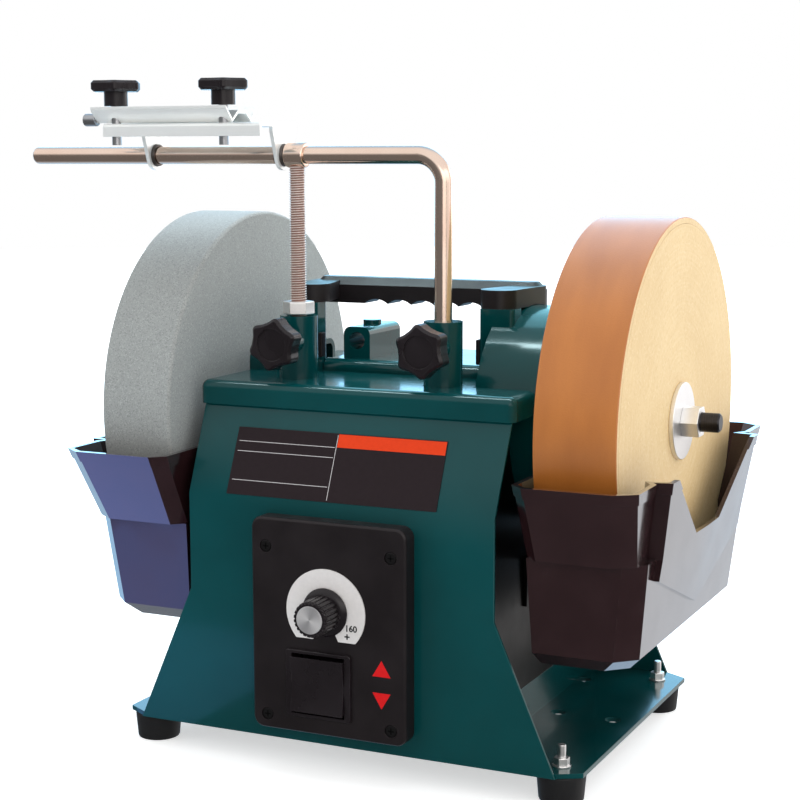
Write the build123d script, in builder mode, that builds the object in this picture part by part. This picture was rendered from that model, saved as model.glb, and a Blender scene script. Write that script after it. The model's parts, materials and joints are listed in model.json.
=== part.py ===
# Wet knife sharpener, every piece in one frame, in millimetres.
# +X runs along the spindle towards the leather wheel, +Y to the rear, +Z up.
# The pieces are drawn with the origin on the floor, under the spindle and half-way between the side panels.
# They are written with the origin on the floor, under the middle of the whole machine.
from build123d import *
import os
from math import atan, cos, hypot, pi, radians, sin, sqrt, tan

os.makedirs("parts", exist_ok=True)

# Fits
seat_clearance = 0.02
running_clearance = 0.08
passing_gap = 0.3

# Wheels and spindle
spindle_height = 214.0
wheel_diameter = 250.0
wheel_width = 50.0
stone_inner_face = 116.0
leather_inner_face = 126.0
tread_thickness = 4.0
spindle_diameter = 15.0
spindle_end_diameter = 12.0
collar_diameter = 40.0
collar_thickness = 6.0
washer_diameter = 48.0
washer_thickness = 3.0
nut_flats = 18.0
nut_thickness = 11.0
thread_past_nut = 12.0
thread_chamfer = 1.2
wheel_edge = 1.5
tread_edge = 0.6

# Spindle bearings
bearing_diameter = 35.0
bearing_width = 11.0
bearing_ring = 3.2
bearing_shield = 1.0
bearing_cover = 2.0

# Sheet body
foot_height = 17.0
foot_top_diameter = 30.0
foot_floor_diameter = 27.0
foot_from_side = 16.0
foot_from_front = 15.0
foot_from_rear = 20.0
stud_diameter = 8.0
stud_rise = 14.0
stud_in_foot = 9.0
stud_washer_diameter = 18.0
stud_washer_thickness = 1.6
stud_nut_flats = 13.0
stud_nut_thickness = 6.5
plate_thickness = 3.0
plate_half_width = 156.0
plate_corner_run = 8.0
plate_hole_diameter = 10.0
plate_hole_places = ((103.0, -10.0), (140.0, -11.0), (94.0, 66.0))
upstand_height = 23.0
sheet = 2.0
body_depth = 232.0
body_middle_y = -8.0
panel_foot_half_width = 142.0
panel_waist_half_width = 103.0
panel_waist_height = 107.0
slope_run = 24.0
slope_rise = 53.6
side_half_width = 90.0
cover_over_spindle = 8.0
cover_height = 15.0
cover_half_width = 106.6
cover_overhang = 3.0
cover_edge_radius = 5.0
platform_rise = 8.0
platform_half_width = 56.0
platform_front_y = -27.0
platform_rear_y = 62.0
platform_edge_radius = 3.0
vent_length = 34.0
vent_width = 4.0
vent_pitch = 9.0
vent_count = 7
vent_column_x = 42.0
vent_middle_height = 112.0
gland_x = -65.0
gland_over_plate = 30.0
gland_flats = 24.0
gland_flange = 5.0
gland_body_diameter = 18.0
gland_reach = 15.0
gland_bore_diameter = 8.0
upstand_inset = 4.0

# Gear housing, bearing housing and handle
dome_radius = 68.5
dome_outer_face = 118.0
dome_inner_face = 66.0
bearing_block_width = 84.0
bearing_block_height = 74.0
bearing_block_corner = 8.0
bearing_block_outer_face = 106.0
case_wall = 3.5
case_end_wall = 6.0
dome_edge_radius = 3.0
bearing_boss_wall = 5.0
gear_plate_thickness = 4.0
flange_width = 7.0
flange_thickness = 4.0
post_inner_face = 57.0
post_width = 23.0
post_front_y = -38.0
post_depth = 16.0
post_rise = 45.0
post_edge_radius = 3.0
post_rib_rise = 15.0
plug_width = 6.0
plug_height = 16.0
plug_thickness = 3.0
plug_from_front = 2.0
plug_over_cover = 9.5
handle_half_width = 82.0
handle_grip_depth = 20.0
handle_grip_height = 17.0
handle_grip_drop = 3.0
handle_boss_height = 11.6
handle_boss_diameter = 24.0
handle_boss_x = 66.0
handle_boss_y = -25.0
grip_front_y = 4.0
grip_chamfer = 5.0
grip_corner_radius = 9.0
finger_count = 5
finger_pitch = 17.0
finger_depth = 3.0

# Gear train: spur gears with full involute flanks
pressure_angle = 25.0
addendum_share = 0.8
dedendum_share = 1.05
backlash = 0.1
drive_module = 1.5
drive_teeth = 72
idler_pinion_teeth = 14
motor_module = 1.25
idler_teeth = 60
motor_pinion_teeth = 12
idler_angle = -52.0
motor_angle = -141.0
drive_gear_start = 86.0
drive_gear_width = 12.0
idler_gear_start = 73.0
idler_gear_width = 10.0
gear_hub_diameter = 26.0
drive_web_thickness = 6.0
drive_rim = 7.0
drive_web_holes = 6
drive_web_hole_diameter = 15.0
pinion_overlap = 1.0
idler_shaft_diameter = 10.0
motor_shaft_diameter = 7.0
gear_room = 3.0

# Motor and electrics
motor_diameter = 84.0
motor_length = 126.0
motor_end_bell = 18.0
motor_end_step = 3.0
motor_shaft_depth = 30.0
board_length = 84.0
board_width = 52.0
board_thickness = 1.6
board_standoff = 9.0
board_x = -30.0
board_from_rear = 18.0
board_standoff_diameter = 6.0
capacitor_diameter = 16.0
capacitor_height = 22.0
heat_sink_width = 10.0
heat_sink_length = 36.0
heat_sink_height = 20.0

# Control box on the front panel
box_half_width = 52.0
box_height = 133.0
box_depth = 12.0
box_over_floor = 27.0
box_wall = 2.5
box_front_wall = 3.0
box_corner_radius = 7.0
box_edge_radius = 2.0
box_screw_x = 42.0
box_screw_inset = 9.0
box_screw_recess_diameter = 8.0
box_screw_recess_depth = 1.2
dial_x = -1.0
dial_height = 105.0
dial_ring_diameter = 53.0
dial_ring_hole = 27.0
dial_ring_thickness = 0.8
dial_gap_angle = 52.0
dial_flat_drop = 22.0
knob_skirt_diameter = 30.0
knob_skirt_thickness = 3.0
knob_barrel_diameter = 23.0
knob_barrel_taper = 1.5
knob_length = 20.5
knob_cap_diameter = 17.0
knob_cap_depth = 1.2
knob_cap_proud = 0.4
pot_diameter = 24.0
pot_depth = 7.5
pot_bush_diameter = 9.0
pot_shaft_diameter = 6.0
pot_shaft_in_knob = 12.0
switch_x = -6.0
switch_height = 58.7
bezel_width = 44.0
bezel_height = 42.0
bezel_thickness = 2.0
bezel_border = 2.0
bezel_side = 4.0
switch_wall = 1.0
switch_depth = 26.0
rocker_depth = 11.0
rocker_proud = 4.6
rocker_dip = 2.4
rocker_pivot_depth = 3.0
rocker_pin_diameter = 3.0
rocker_swing_room = 1.9

# Support bar and its sleeves
leg_y = -67.0
left_leg_x = -54.3
right_leg_x = 45.6
bar_diameter = 11.0
bar_over_cover = 139.7
bar_left_end = -253.0
bar_bend_radius = 17.0
bar_end_radius = 3.0
threaded_leg_diameter = 10.0
leg_collar_diameter = 15.5
leg_collar_length = 13.4
sleeve_diameter = 24.0
sleeve_rise = 39.5
sleeve_below_cover = 35.0
sleeve_flange_diameter = 33.0
sleeve_flange_thickness = 4.0
sleeve_boss_diameter = 17.0
sleeve_boss_reach = 15.0
lock_over_cover = 24.0
height_nut_flats = 17.6
height_nut_thickness = 8.3
height_nut_gap = 0.7
height_nut_edge = 0.5
height_nut_rest_angle = 25.0
flat_sleeve_x = -36.5
flat_sleeve_width = 19.0
flat_sleeve_front_y = -20.0
flat_sleeve_length = 47.0
flat_sleeve_bore = 11.4
flat_sleeve_bore_rise = 11.5
flat_sleeve_corner = 5.0
flat_sleeve_wall_over_bore = 3.4
flat_sleeve_boss_diameter = 12.0
flat_sleeve_boss_height = 3.0

# Star knobs
star_lobes = 6
star_wave = 1.3
lobe_sharpness = 0.2
lobe_points = 8
lock_star_diameter = 33.0
lock_star_thickness = 13.0
lock_left_rest_angle = 20.0
lock_right_rest_angle = 36.0
lock_dish_diameter = 20.0
lock_dish_depth = 1.2
lock_neck_diameter = 16.0
lock_neck_length = 9.0
lock_screw_diameter = 8.0
jig_star_diameter = 34.0
jig_star_thickness = 7.0
jig_neck_diameter = 15.0
jig_neck_length = 9.0
jig_screw_diameter = 6.0
jig_screw_below_base = 11.0
star_edge = 1.6

# Knife jig on the bar
jig_sheet = 2.5
jig_over_bar = 20.0
jig_front_y = -98.0
jig_rear_y = -51.0
jig_length = 114.5
jig_lip = 8.2
jig_ear_radius = 9.3
jig_ear_width_top = 30.0
jig_left_ear_inset = 18.0
bush_diameter = 14.0
bush_overhang = 2.0
clamp_sheet = 2.2
clamp_length = 100.0
clamp_left_overhang = 8.0
clamp_front_y = -100.0
clamp_groove_y = -92.0
clamp_ridge_front_y = -85.0
clamp_ridge_rear_y = -75.0
clamp_foot_y = -68.0
clamp_rear_y = -62.0
clamp_flange_rise = 8.2
clamp_ridge_rise = 5.4
clamp_gap = 0.3
jig_screw_inset = 6.5
stub_diameter = 8.0
stub_length = 9.0

# Water troughs
trough_wall = 2.5
trough_wall_gap = 6.0
trough_rim_drop = 21.0
trough_step_drop = 68.0
trough_floor_gap = 6.5
trough_front_gap = 22.0
trough_taper = 24.0
trough_lip_height = 7.0
trough_lip = 0.8
trough_inner_chamfer = 8.0
trough_front_chamfer = 12.0
trough_front_chamfer_run = 9.0
trough_side_gap = 17.0
trough_side_taper = 7.0
groove_from_front = 41.0
groove_taper = 8.0
groove_width = 6.0
groove_depth = 4.0
bulge_step = 7.8
bulge_swell = 1.7
lower_front_gap = 6.0
lower_side_gap = 13.8
lower_taper = 6.0
lower_draft = 2.0
lower_chamfer = 12.0
keel_edge_drop = 10.0
keel_drop = 45.0
trough_bottom_chamfer = 8.0
trough_inner_bottom_chamfer = 3.0
notch_half_top = 90.0
notch_half_bottom = 26.0
notch_floor_rise = 4.0
collar_room = 10.0
hook_drop = 80.0
hook_half_length = 45.0
hook_reach = 13.0
hook_grip = 4.0
hanger_sheet = 2.0
hanger_back_height = 30.0
hanger_shelf_room = 2.0

# Worked out from the sizes above
wheel_radius = wheel_diameter / 2
spindle_radius = spindle_diameter / 2
end_radius = spindle_end_diameter / 2
plate_top = foot_height + plate_thickness
front_face = body_middle_y - body_depth / 2
rear_face = body_middle_y + body_depth / 2
cover_bottom = spindle_height + cover_over_spindle
cover_top = cover_bottom + cover_height
cover_underside = cover_top - sheet
platform_top = cover_top + platform_rise
bend_height = cover_bottom - slope_rise
slope = slope_run / slope_rise
sloped_sheet = sheet * hypot(slope_run, slope_rise) / slope_rise
inner_bend_height = bend_height - (sloped_sheet - sheet) / slope
half_depth = body_depth / 2
top_half_depth = half_depth - slope * (cover_underside - bend_height)
upstand_top = plate_top + upstand_height
post_top = cover_top + post_rise
post_rear_y = post_front_y + post_depth
post_outer_face = post_inner_face + post_width
grip_bottom = post_top - handle_grip_drop
box_front = front_face - box_depth
bar_height = cover_top + bar_over_cover
bar_radius = bar_diameter / 2
sleeve_top = cover_top + sleeve_rise
lock_height = cover_top + lock_over_cover
plate_front = front_face + sheet
plate_rear = rear_face - sheet
panel_top_half_width = cover_half_width - sheet - passing_gap
cover_front_y = body_middle_y - half_depth + slope_run - cover_overhang
cover_rear_y = body_middle_y + half_depth - slope_run + cover_overhang
gland_height = plate_top + gland_over_plate
tub_width = bezel_width - 2 * bezel_side + 2 * switch_wall
tub_height = bezel_height - 2 * bezel_border + 2 * switch_wall
case_shoulder = side_half_width - sheet
bearing_radius = bearing_diameter / 2
bearing_boss_radius = bearing_radius + bearing_boss_wall
right_bearing_x = dome_outer_face - bearing_cover - bearing_width
left_bearing_x = bearing_cover - bearing_block_outer_face
flange_x = sheet - side_half_width
bearing_block_inner_face = -flange_x - flange_thickness
bearing_block_half_width = bearing_block_width / 2
bearing_block_half_height = bearing_block_height / 2
idler_shaft_radius = idler_shaft_diameter / 2
idler_shaft_end = dome_outer_face - case_end_wall / 2
idler_boss_radius = idler_shaft_radius + case_wall
idler_boss_x = drive_gear_start + drive_gear_width + gear_room
leg_end = cover_bottom
stone_end = -(stone_inner_face + wheel_width + washer_thickness + nut_thickness + thread_past_nut)
leather_end = leather_inner_face + wheel_width + washer_thickness + nut_thickness + thread_past_nut
knob_back = box_front - dial_ring_thickness - passing_gap
knob_front = knob_back - knob_length
rim_front = wheel_radius + trough_front_gap
machine_middle_x = (bar_left_end + leather_end) / 2
machine_middle_y = (knob_front - knob_cap_proud + rim_front + trough_lip) / 2
spindle_axis = Axis((0, 0, spindle_height), (1, 0, 0))
motor_radius = motor_diameter / 2
motor_shaft_radius = motor_shaft_diameter / 2
screw_radius = lock_screw_diameter / 2
foot_places = [
    (side * (plate_half_width - foot_from_side), y)
    for side in (-1, 1)
    for y in (front_face + sheet + foot_from_front, rear_face - sheet - foot_from_rear)
]


def rod_x(start, end, radius, y, z, mode=Mode.ADD):
    """Round bar along X in the part that is open."""
    with Locations(((start + end) / 2, y, z)):
        Cylinder(radius, abs(end - start), rotation=(0, 90, 0), mode=mode)


def rod_y(front, rear, radius, x, z, mode=Mode.ADD):
    """Round bar along Y in the part that is open."""
    with Locations((x, (front + rear) / 2, z)):
        Cylinder(radius, abs(rear - front), rotation=(90, 0, 0), mode=mode)


def rod_z(bottom, top, radius, x, y, mode=Mode.ADD):
    """Round bar along Z in the part that is open."""
    with Locations((x, y, (bottom + top) / 2)):
        Cylinder(radius, abs(top - bottom), mode=mode)


def block(x_span, y_span, z_span, mode=Mode.ADD):
    """Straight block between three pairs of limits in the part that is open."""
    middle = [(low + high) / 2 for low, high in (x_span, y_span, z_span)]
    size = [abs(high - low) for low, high in (x_span, y_span, z_span)]
    with Locations(tuple(middle)):
        Box(*size, mode=mode)


def finish(piece, name):
    """Name a piece and write it with the middle of the whole machine over the origin."""
    placed = piece.part.moved(Location((-machine_middle_x, -machine_middle_y, 0)))
    placed.label = name
    export_step(placed, f"parts/{name}.step")


# Feet and base plate
with BuildPart() as feet:
    with Locations(*[(x, y, foot_height / 2) for x, y in foot_places]):
        Cone(foot_floor_diameter / 2, foot_top_diameter / 2, foot_height)
    with BuildSketch(Plane.XY.offset(foot_height)):
        with Locations(*foot_places):
            Circle(stud_diameter / 2 + seat_clearance)
    extrude(amount=-stud_in_foot - passing_gap, mode=Mode.SUBTRACT)
finish(feet, "feet")

with BuildPart() as foot_bolts:
    with BuildSketch(Plane.XY.offset(foot_height - stud_in_foot)):
        with Locations(*foot_places):
            Circle(stud_diameter / 2)
    extrude(amount=stud_in_foot + plate_thickness + stud_rise)
    with BuildSketch(Plane.XY.offset(plate_top)):
        with Locations(*foot_places):
            Circle(stud_washer_diameter / 2)
    extrude(amount=stud_washer_thickness)
    with BuildSketch(Plane.XY.offset(plate_top + stud_washer_thickness)):
        with Locations(*foot_places):
            RegularPolygon(stud_nut_flats / 2, 6, major_radius=False)
    extrude(amount=stud_nut_thickness)
finish(foot_bolts, "foot_bolts")

with BuildPart() as base_plate:
    with BuildSketch(Plane.XY.offset(foot_height)):
        with BuildLine():
            Polyline(
                (-panel_foot_half_width, plate_front),
                (panel_foot_half_width, plate_front),
                (plate_half_width, plate_front + plate_corner_run),
                (plate_half_width, plate_rear - plate_corner_run),
                (panel_foot_half_width, plate_rear),
                (-panel_foot_half_width, plate_rear),
                (-plate_half_width, plate_rear - plate_corner_run),
                (-plate_half_width, plate_front + plate_corner_run),
                close=True,
            )
        make_face()
        with Locations(*foot_places):
            Circle(stud_diameter / 2 + seat_clearance, mode=Mode.SUBTRACT)
        for side in (-1, 1):
            with Locations(*[(side * x, y) for x, y in plate_hole_places]):
                Circle(plate_hole_diameter / 2, mode=Mode.SUBTRACT)
    extrude(amount=plate_thickness)
    for side in (-1, 1):
        block(
            (side * (side_half_width - sheet), side * side_half_width),
            (plate_front + upstand_inset, plate_rear - upstand_inset),
            (plate_top, upstand_top),
        )
finish(base_plate, "base_plate")


# Front and rear panels: one bent, flared sheet each
def bent_panel(side):
    """Sheet panel with a flared foot and a sloped top; side is -1 in front and +1 at the rear."""
    strip = [
        (half_depth, foot_height),
        (half_depth, bend_height),
        (top_half_depth, cover_underside),
        (top_half_depth - sloped_sheet, cover_underside),
        (half_depth - sheet, inner_bend_height),
        (half_depth - sheet, foot_height),
    ]
    half_outline = [
        (panel_foot_half_width, foot_height),
        (panel_waist_half_width, panel_waist_height),
        (panel_waist_half_width, bend_height),
        (panel_top_half_width, cover_underside),
    ]
    with BuildPart() as panel:
        with BuildSketch(Plane.YZ.offset(-plate_half_width)):
            with BuildLine():
                Polyline(*[(body_middle_y + side * d, z) for d, z in strip], close=True)
            make_face()
        extrude(amount=2 * plate_half_width)
        with BuildSketch(Plane.XZ):
            with BuildLine():
                Polyline(*half_outline, *[(-x, z) for x, z in reversed(half_outline)], close=True)
            make_face()
        extrude(amount=body_depth, both=True, mode=Mode.INTERSECT)
    return panel.part


with BuildPart() as front_panel:
    add(bent_panel(-1))
    block(
        (switch_x - tub_width / 2 - passing_gap, switch_x + tub_width / 2 + passing_gap),
        (front_face - sheet, front_face + 2 * sheet),
        (switch_height - tub_height / 2 - passing_gap, switch_height + tub_height / 2 + passing_gap),
        mode=Mode.SUBTRACT,
    )
finish(front_panel, "front_panel")

with BuildPart() as rear_panel:
    add(bent_panel(1))
    with BuildSketch(Plane.XZ.offset(-rear_face)):
        with Locations((0, vent_middle_height)):
            with GridLocations(2 * vent_column_x, vent_pitch, 2, vent_count):
                SlotOverall(vent_length, vent_width)
        with Locations((gland_x, gland_height)):
            Circle(gland_body_diameter / 2 + seat_clearance)
    extrude(amount=2 * sheet, mode=Mode.SUBTRACT)
finish(rear_panel, "rear_panel")

with BuildPart() as cable_gland:
    with BuildSketch(Plane.XZ.offset(-rear_face)):
        with Locations((gland_x, gland_height)):
            RegularPolygon(gland_flats / 2, 6, major_radius=False)
    extrude(amount=-gland_flange)
    rod_y(rear_face, rear_face + gland_reach, gland_body_diameter / 2, gland_x, gland_height)
    rod_y(rear_face - sheet, rear_face, gland_body_diameter / 2, gland_x, gland_height)
    with BuildSketch(Plane.XZ.offset(sheet - rear_face)):
        with Locations((gland_x, gland_height)):
            RegularPolygon(gland_flats / 2, 6, major_radius=False)
    extrude(amount=gland_flange)
    rod_y(
        rear_face - 2 * gland_flange,
        rear_face + 2 * gland_reach,
        gland_bore_diameter / 2,
        gland_x,
        gland_height,
        mode=Mode.SUBTRACT,
    )
finish(cable_gland, "cable_gland")


# Gear train: places, outlines and the case that goes round them
drive_pitch_radius = drive_module * drive_teeth / 2
idler_pinion_radius = drive_module * idler_pinion_teeth / 2
idler_pitch_radius = motor_module * idler_teeth / 2
motor_pinion_radius = motor_module * motor_pinion_teeth / 2
idler_reach = drive_pitch_radius + idler_pinion_radius
motor_reach = idler_pitch_radius + motor_pinion_radius
idler_y = idler_reach * cos(radians(idler_angle))
idler_z = spindle_height + idler_reach * sin(radians(idler_angle))
motor_y = idler_y + motor_reach * cos(radians(motor_angle))
motor_z = idler_z + motor_reach * sin(radians(motor_angle))
wide_case = [
    (0, spindle_height, dome_radius),
    (idler_y, idler_z, idler_pitch_radius + motor_module + gear_room + case_wall),
    (motor_y, motor_z, motor_pinion_radius + motor_module + gear_room + case_wall),
]
neck_case = [
    (0, spindle_height, dome_radius),
    (idler_y, idler_z, idler_pinion_radius + drive_module + gear_room + case_wall),
]


def gear_outline(teeth, module, phase, y, z):
    """Closed outline of a spur gear with involute flanks; phase is the angle of one tooth's middle."""
    pitch_radius = module * teeth / 2
    base_radius = pitch_radius * cos(radians(pressure_angle))
    root_radius = pitch_radius - dedendum_share * module
    tip_radius = pitch_radius + addendum_share * module

    def half_angle(radius):
        unwound = [sqrt(max(r / base_radius, 1) ** 2 - 1) for r in (pitch_radius, radius)]
        at_pitch, here = [t - atan(t) for t in unwound]
        return pi / (2 * teeth) - backlash / (2 * pitch_radius) + at_pitch - here

    radii = [root_radius, pitch_radius, tip_radius]
    if root_radius < base_radius:
        radii.insert(1, base_radius)
    flank = [(r, -half_angle(r)) for r in radii] + [(r, half_angle(r)) for r in reversed(radii)]
    turns = [(radius, phase + angle + 2 * pi * i / teeth) for i in range(teeth) for radius, angle in flank]
    return [(y + radius * cos(angle), z + radius * sin(angle)) for radius, angle in turns]


def gear_blank(start, width, outline):
    """Toothed disc across X."""
    with BuildPart() as blank:
        with BuildSketch(Plane.YZ.offset(start)):
            with BuildLine():
                Polyline(*outline, close=True)
            make_face()
        extrude(amount=width)
    return blank.part


def case_outline(circles, grow):
    """Tight band round some circles, each grown by the same amount, as a flat face."""
    with BuildSketch() as outline:
        for y, z, radius in circles:
            with Locations((y, z)):
                Circle(radius + grow)
        make_hull()
    return outline.sketch


def bearing_block_outline(grow):
    """Rounded rectangle of the left housing, grown by an amount on every side, as a flat face."""
    with BuildSketch() as outline:
        with Locations((0, spindle_height)):
            RectangleRounded(
                bearing_block_width + 2 * grow, bearing_block_height + 2 * grow, bearing_block_corner + grow
            )
    return outline.sketch


# Side panels, with the way through for each housing
side_outline = [
    (body_middle_y + d, z)
    for d, z in (
        (sheet - half_depth, upstand_top),
        (half_depth - sheet, upstand_top),
        (half_depth - sheet, inner_bend_height),
        (top_half_depth - sloped_sheet, cover_underside),
        (sloped_sheet - top_half_depth, cover_underside),
        (sheet - half_depth, inner_bend_height),
    )
]
with BuildPart() as side_panel_right:
    with BuildSketch(Plane.YZ.offset(side_half_width - sheet)):
        with BuildLine():
            Polyline(*side_outline, close=True)
        make_face()
        add(case_outline(neck_case, passing_gap), mode=Mode.SUBTRACT)
    extrude(amount=sheet)
finish(side_panel_right, "side_panel_right")

with BuildPart() as side_panel_left:
    with BuildSketch(Plane.YZ.offset(-side_half_width)):
        with BuildLine():
            Polyline(*side_outline, close=True)
        make_face()
        add(bearing_block_outline(passing_gap), mode=Mode.SUBTRACT)
    extrude(amount=sheet)
finish(side_panel_left, "side_panel_left")

# Top cover: a pressed tray with a raised platform between the handle posts
with BuildPart() as top_cover:
    block((-cover_half_width, cover_half_width), (cover_front_y, cover_rear_y), (cover_bottom, cover_top))
    fillet(
        top_cover.edges().filter_by(Axis.Z) + top_cover.faces().sort_by(Axis.Z)[-1].edges(),
        cover_edge_radius,
    )
    block(
        (-platform_half_width, platform_half_width),
        (platform_front_y, platform_rear_y),
        (cover_underside, platform_top),
    )
    fillet(top_cover.faces().sort_by(Axis.Z)[-1].edges(), platform_edge_radius)
    block(
        (sheet - cover_half_width, cover_half_width - sheet),
        (cover_front_y + sheet, cover_rear_y - sheet),
        (cover_bottom, cover_underside),
        mode=Mode.SUBTRACT,
    )
    block(
        (sheet - platform_half_width, platform_half_width - sheet),
        (platform_front_y + sheet, platform_rear_y - sheet),
        (cover_bottom, platform_top - sheet),
        mode=Mode.SUBTRACT,
    )
    for side, inner_face, reach in (
        (1, dome_inner_face, dome_radius),
        (-1, bearing_block_inner_face, bearing_block_half_width),
    ):
        block(
            (side * (inner_face - passing_gap), side * (cover_half_width + cover_overhang)),
            (-reach - passing_gap, reach + passing_gap),
            (cover_bottom - sheet, cover_top + sheet),
            mode=Mode.SUBTRACT,
        )
    for x in (left_leg_x, right_leg_x):
        rod_z(cover_bottom, platform_top, sleeve_diameter / 2 + passing_gap, x, leg_y, mode=Mode.SUBTRACT)
finish(top_cover, "top_cover")


# Housings at the two ends of the spindle, each with a post for the handle
def post(side):
    """Handle post standing on the cover, with rounded upright edges."""
    with BuildPart() as column:
        block(
            (side * post_inner_face, side * post_outer_face),
            (post_front_y, post_rear_y),
            (cover_top, post_top),
        )
        fillet(column.edges().filter_by(Axis.Z), min(post_edge_radius, 0.45 * min(post_width, post_depth)))
    return column.part


with BuildPart() as gear_housing:
    with BuildSketch(Plane.YZ.offset(dome_inner_face)):
        add(case_outline(wide_case, 0))
    extrude(amount=case_shoulder - dome_inner_face)
    with BuildSketch(Plane.YZ.offset(case_shoulder)):
        add(case_outline(neck_case, 0))
    extrude(amount=dome_outer_face - case_shoulder)
    fillet(gear_housing.faces().sort_by(Axis.X)[-1].edges(), dome_edge_radius)
    add(post(1))
    with BuildSketch(Plane.YZ.offset(dome_inner_face)):
        add(case_outline(wide_case, -case_wall))
    extrude(amount=case_shoulder - case_wall - dome_inner_face, mode=Mode.SUBTRACT)
    with BuildSketch(Plane.YZ.offset(dome_inner_face)):
        add(case_outline(neck_case, -case_wall))
    extrude(amount=dome_outer_face - case_end_wall - dome_inner_face, mode=Mode.SUBTRACT)
    rod_x(right_bearing_x, dome_outer_face, bearing_boss_radius, 0, spindle_height)
    rod_x(idler_boss_x, dome_outer_face - case_end_wall, idler_boss_radius, idler_y, idler_z)
    rod_x(
        right_bearing_x,
        right_bearing_x + bearing_width,
        bearing_radius + seat_clearance,
        0,
        spindle_height,
        mode=Mode.SUBTRACT,
    )
    rod_x(
        right_bearing_x,
        dome_outer_face + case_wall,
        spindle_radius + bearing_cover,
        0,
        spindle_height,
        mode=Mode.SUBTRACT,
    )
    rod_x(
        idler_boss_x,
        idler_shaft_end + passing_gap,
        idler_shaft_radius + running_clearance,
        idler_y,
        idler_z,
        mode=Mode.SUBTRACT,
    )
finish(gear_housing, "gear_housing")

with BuildPart() as gear_plate:
    with BuildSketch(Plane.YZ.offset(dome_inner_face)):
        add(case_outline(wide_case, -case_wall - seat_clearance))
        with Locations((0, spindle_height)):
            Circle(spindle_radius + bearing_cover, mode=Mode.SUBTRACT)
        with Locations((idler_y, idler_z)):
            Circle(idler_shaft_radius + running_clearance, mode=Mode.SUBTRACT)
        with Locations((motor_y, motor_z)):
            Circle(motor_pinion_radius + motor_module + passing_gap, mode=Mode.SUBTRACT)
    extrude(amount=gear_plate_thickness)
finish(gear_plate, "gear_plate")

with BuildPart() as bearing_housing:
    with BuildSketch(Plane.YZ.offset(-bearing_block_outer_face)):
        add(bearing_block_outline(0))
    extrude(amount=bearing_block_outer_face - bearing_block_inner_face)
    fillet(bearing_housing.faces().sort_by(Axis.X)[0].edges(), dome_edge_radius)
    block(
        (flange_x, -bearing_block_inner_face),
        (-bearing_block_half_width - flange_width, bearing_block_half_width + flange_width),
        (spindle_height - bearing_block_half_height - flange_width, cover_bottom - sheet),
    )
    add(post(-1))
    block(
        (-bearing_block_inner_face - case_wall, post_edge_radius - post_outer_face),
        (post_front_y + post_edge_radius, post_rear_y - post_edge_radius),
        (cover_top, cover_top + post_rib_rise),
    )
    with BuildSketch(Plane.YZ.offset(case_end_wall - bearing_block_outer_face)):
        add(bearing_block_outline(-case_wall))
    extrude(amount=bearing_block_outer_face - case_end_wall - bearing_block_inner_face, mode=Mode.SUBTRACT)
    rod_x(-bearing_block_outer_face, left_bearing_x + bearing_width, bearing_boss_radius, 0, spindle_height)
    rod_x(
        left_bearing_x,
        left_bearing_x + bearing_width,
        bearing_radius + seat_clearance,
        0,
        spindle_height,
        mode=Mode.SUBTRACT,
    )
    rod_x(
        -bearing_block_outer_face - case_wall,
        left_bearing_x + bearing_width,
        spindle_radius + bearing_cover,
        0,
        spindle_height,
        mode=Mode.SUBTRACT,
    )
finish(bearing_housing, "bearing_housing")

# Carrying handle and the plugs on its posts
with BuildPart() as handle:
    with BuildSketch(Plane.XY.offset(grip_bottom)):
        with Locations((0, grip_front_y + handle_grip_depth / 2)):
            RectangleRounded(
                2 * handle_half_width, handle_grip_depth, min(grip_corner_radius, 0.45 * handle_grip_depth)
            )
    extrude(amount=handle_grip_height)
    chamfer(handle.faces().sort_by(Axis.Z)[-1].edges(), grip_chamfer)
    finger_radius = ((finger_pitch / 2) ** 2 + finger_depth**2) / (2 * finger_depth)
    for i in range(finger_count):
        rod_y(
            grip_front_y - grip_chamfer,
            grip_front_y + handle_grip_depth + grip_chamfer,
            finger_radius,
            (i - (finger_count - 1) / 2) * finger_pitch,
            grip_bottom + finger_depth - finger_radius,
            mode=Mode.SUBTRACT,
        )
    arm_end_x = handle_half_width - grip_corner_radius
    for side in (-1, 1):
        with BuildSketch(Plane.XY.offset(post_top)) as arm:
            with Locations((side * handle_boss_x, handle_boss_y)):
                Circle(handle_boss_diameter / 2)
            with Locations((side * arm_end_x, grip_front_y + grip_corner_radius)):
                Circle(grip_corner_radius - seat_clearance)
            make_hull()
        extrude(amount=handle_boss_height)
    rod_x(
        dome_inner_face - passing_gap,
        handle_half_width + passing_gap,
        dome_radius + passing_gap,
        0,
        spindle_height,
        mode=Mode.SUBTRACT,
    )
finish(handle, "handle")

with BuildPart() as post_plugs:
    for side in (-1, 1):
        block(
            (side * (post_inner_face - plug_thickness), side * post_inner_face),
            (post_front_y + plug_from_front, post_front_y + plug_from_front + plug_width),
            (cover_top + plug_over_cover, cover_top + plug_over_cover + plug_height),
        )
finish(post_plugs, "post_plugs")


# Sleeves for the support bar
def sleeve(x):
    """Upright tube through the cover, with a flange below it and a boss for the lock screw."""
    with BuildPart() as tube:
        rod_z(cover_top - sleeve_below_cover, sleeve_top, sleeve_diameter / 2, x, leg_y)
        rod_z(
            cover_underside - sleeve_flange_thickness, cover_underside, sleeve_flange_diameter / 2, x, leg_y
        )
        rod_y(leg_y - sleeve_boss_reach, leg_y, sleeve_boss_diameter / 2, x, lock_height)
        rod_z(
            cover_top - sleeve_below_cover,
            sleeve_top,
            bar_radius + running_clearance,
            x,
            leg_y,
            mode=Mode.SUBTRACT,
        )
        rod_y(
            leg_y - sleeve_boss_reach,
            leg_y,
            screw_radius + running_clearance,
            x,
            lock_height,
            mode=Mode.SUBTRACT,
        )
    return tube.part


with BuildPart() as sleeve_left:
    add(sleeve(left_leg_x))
finish(sleeve_left, "sleeve_left")

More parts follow.
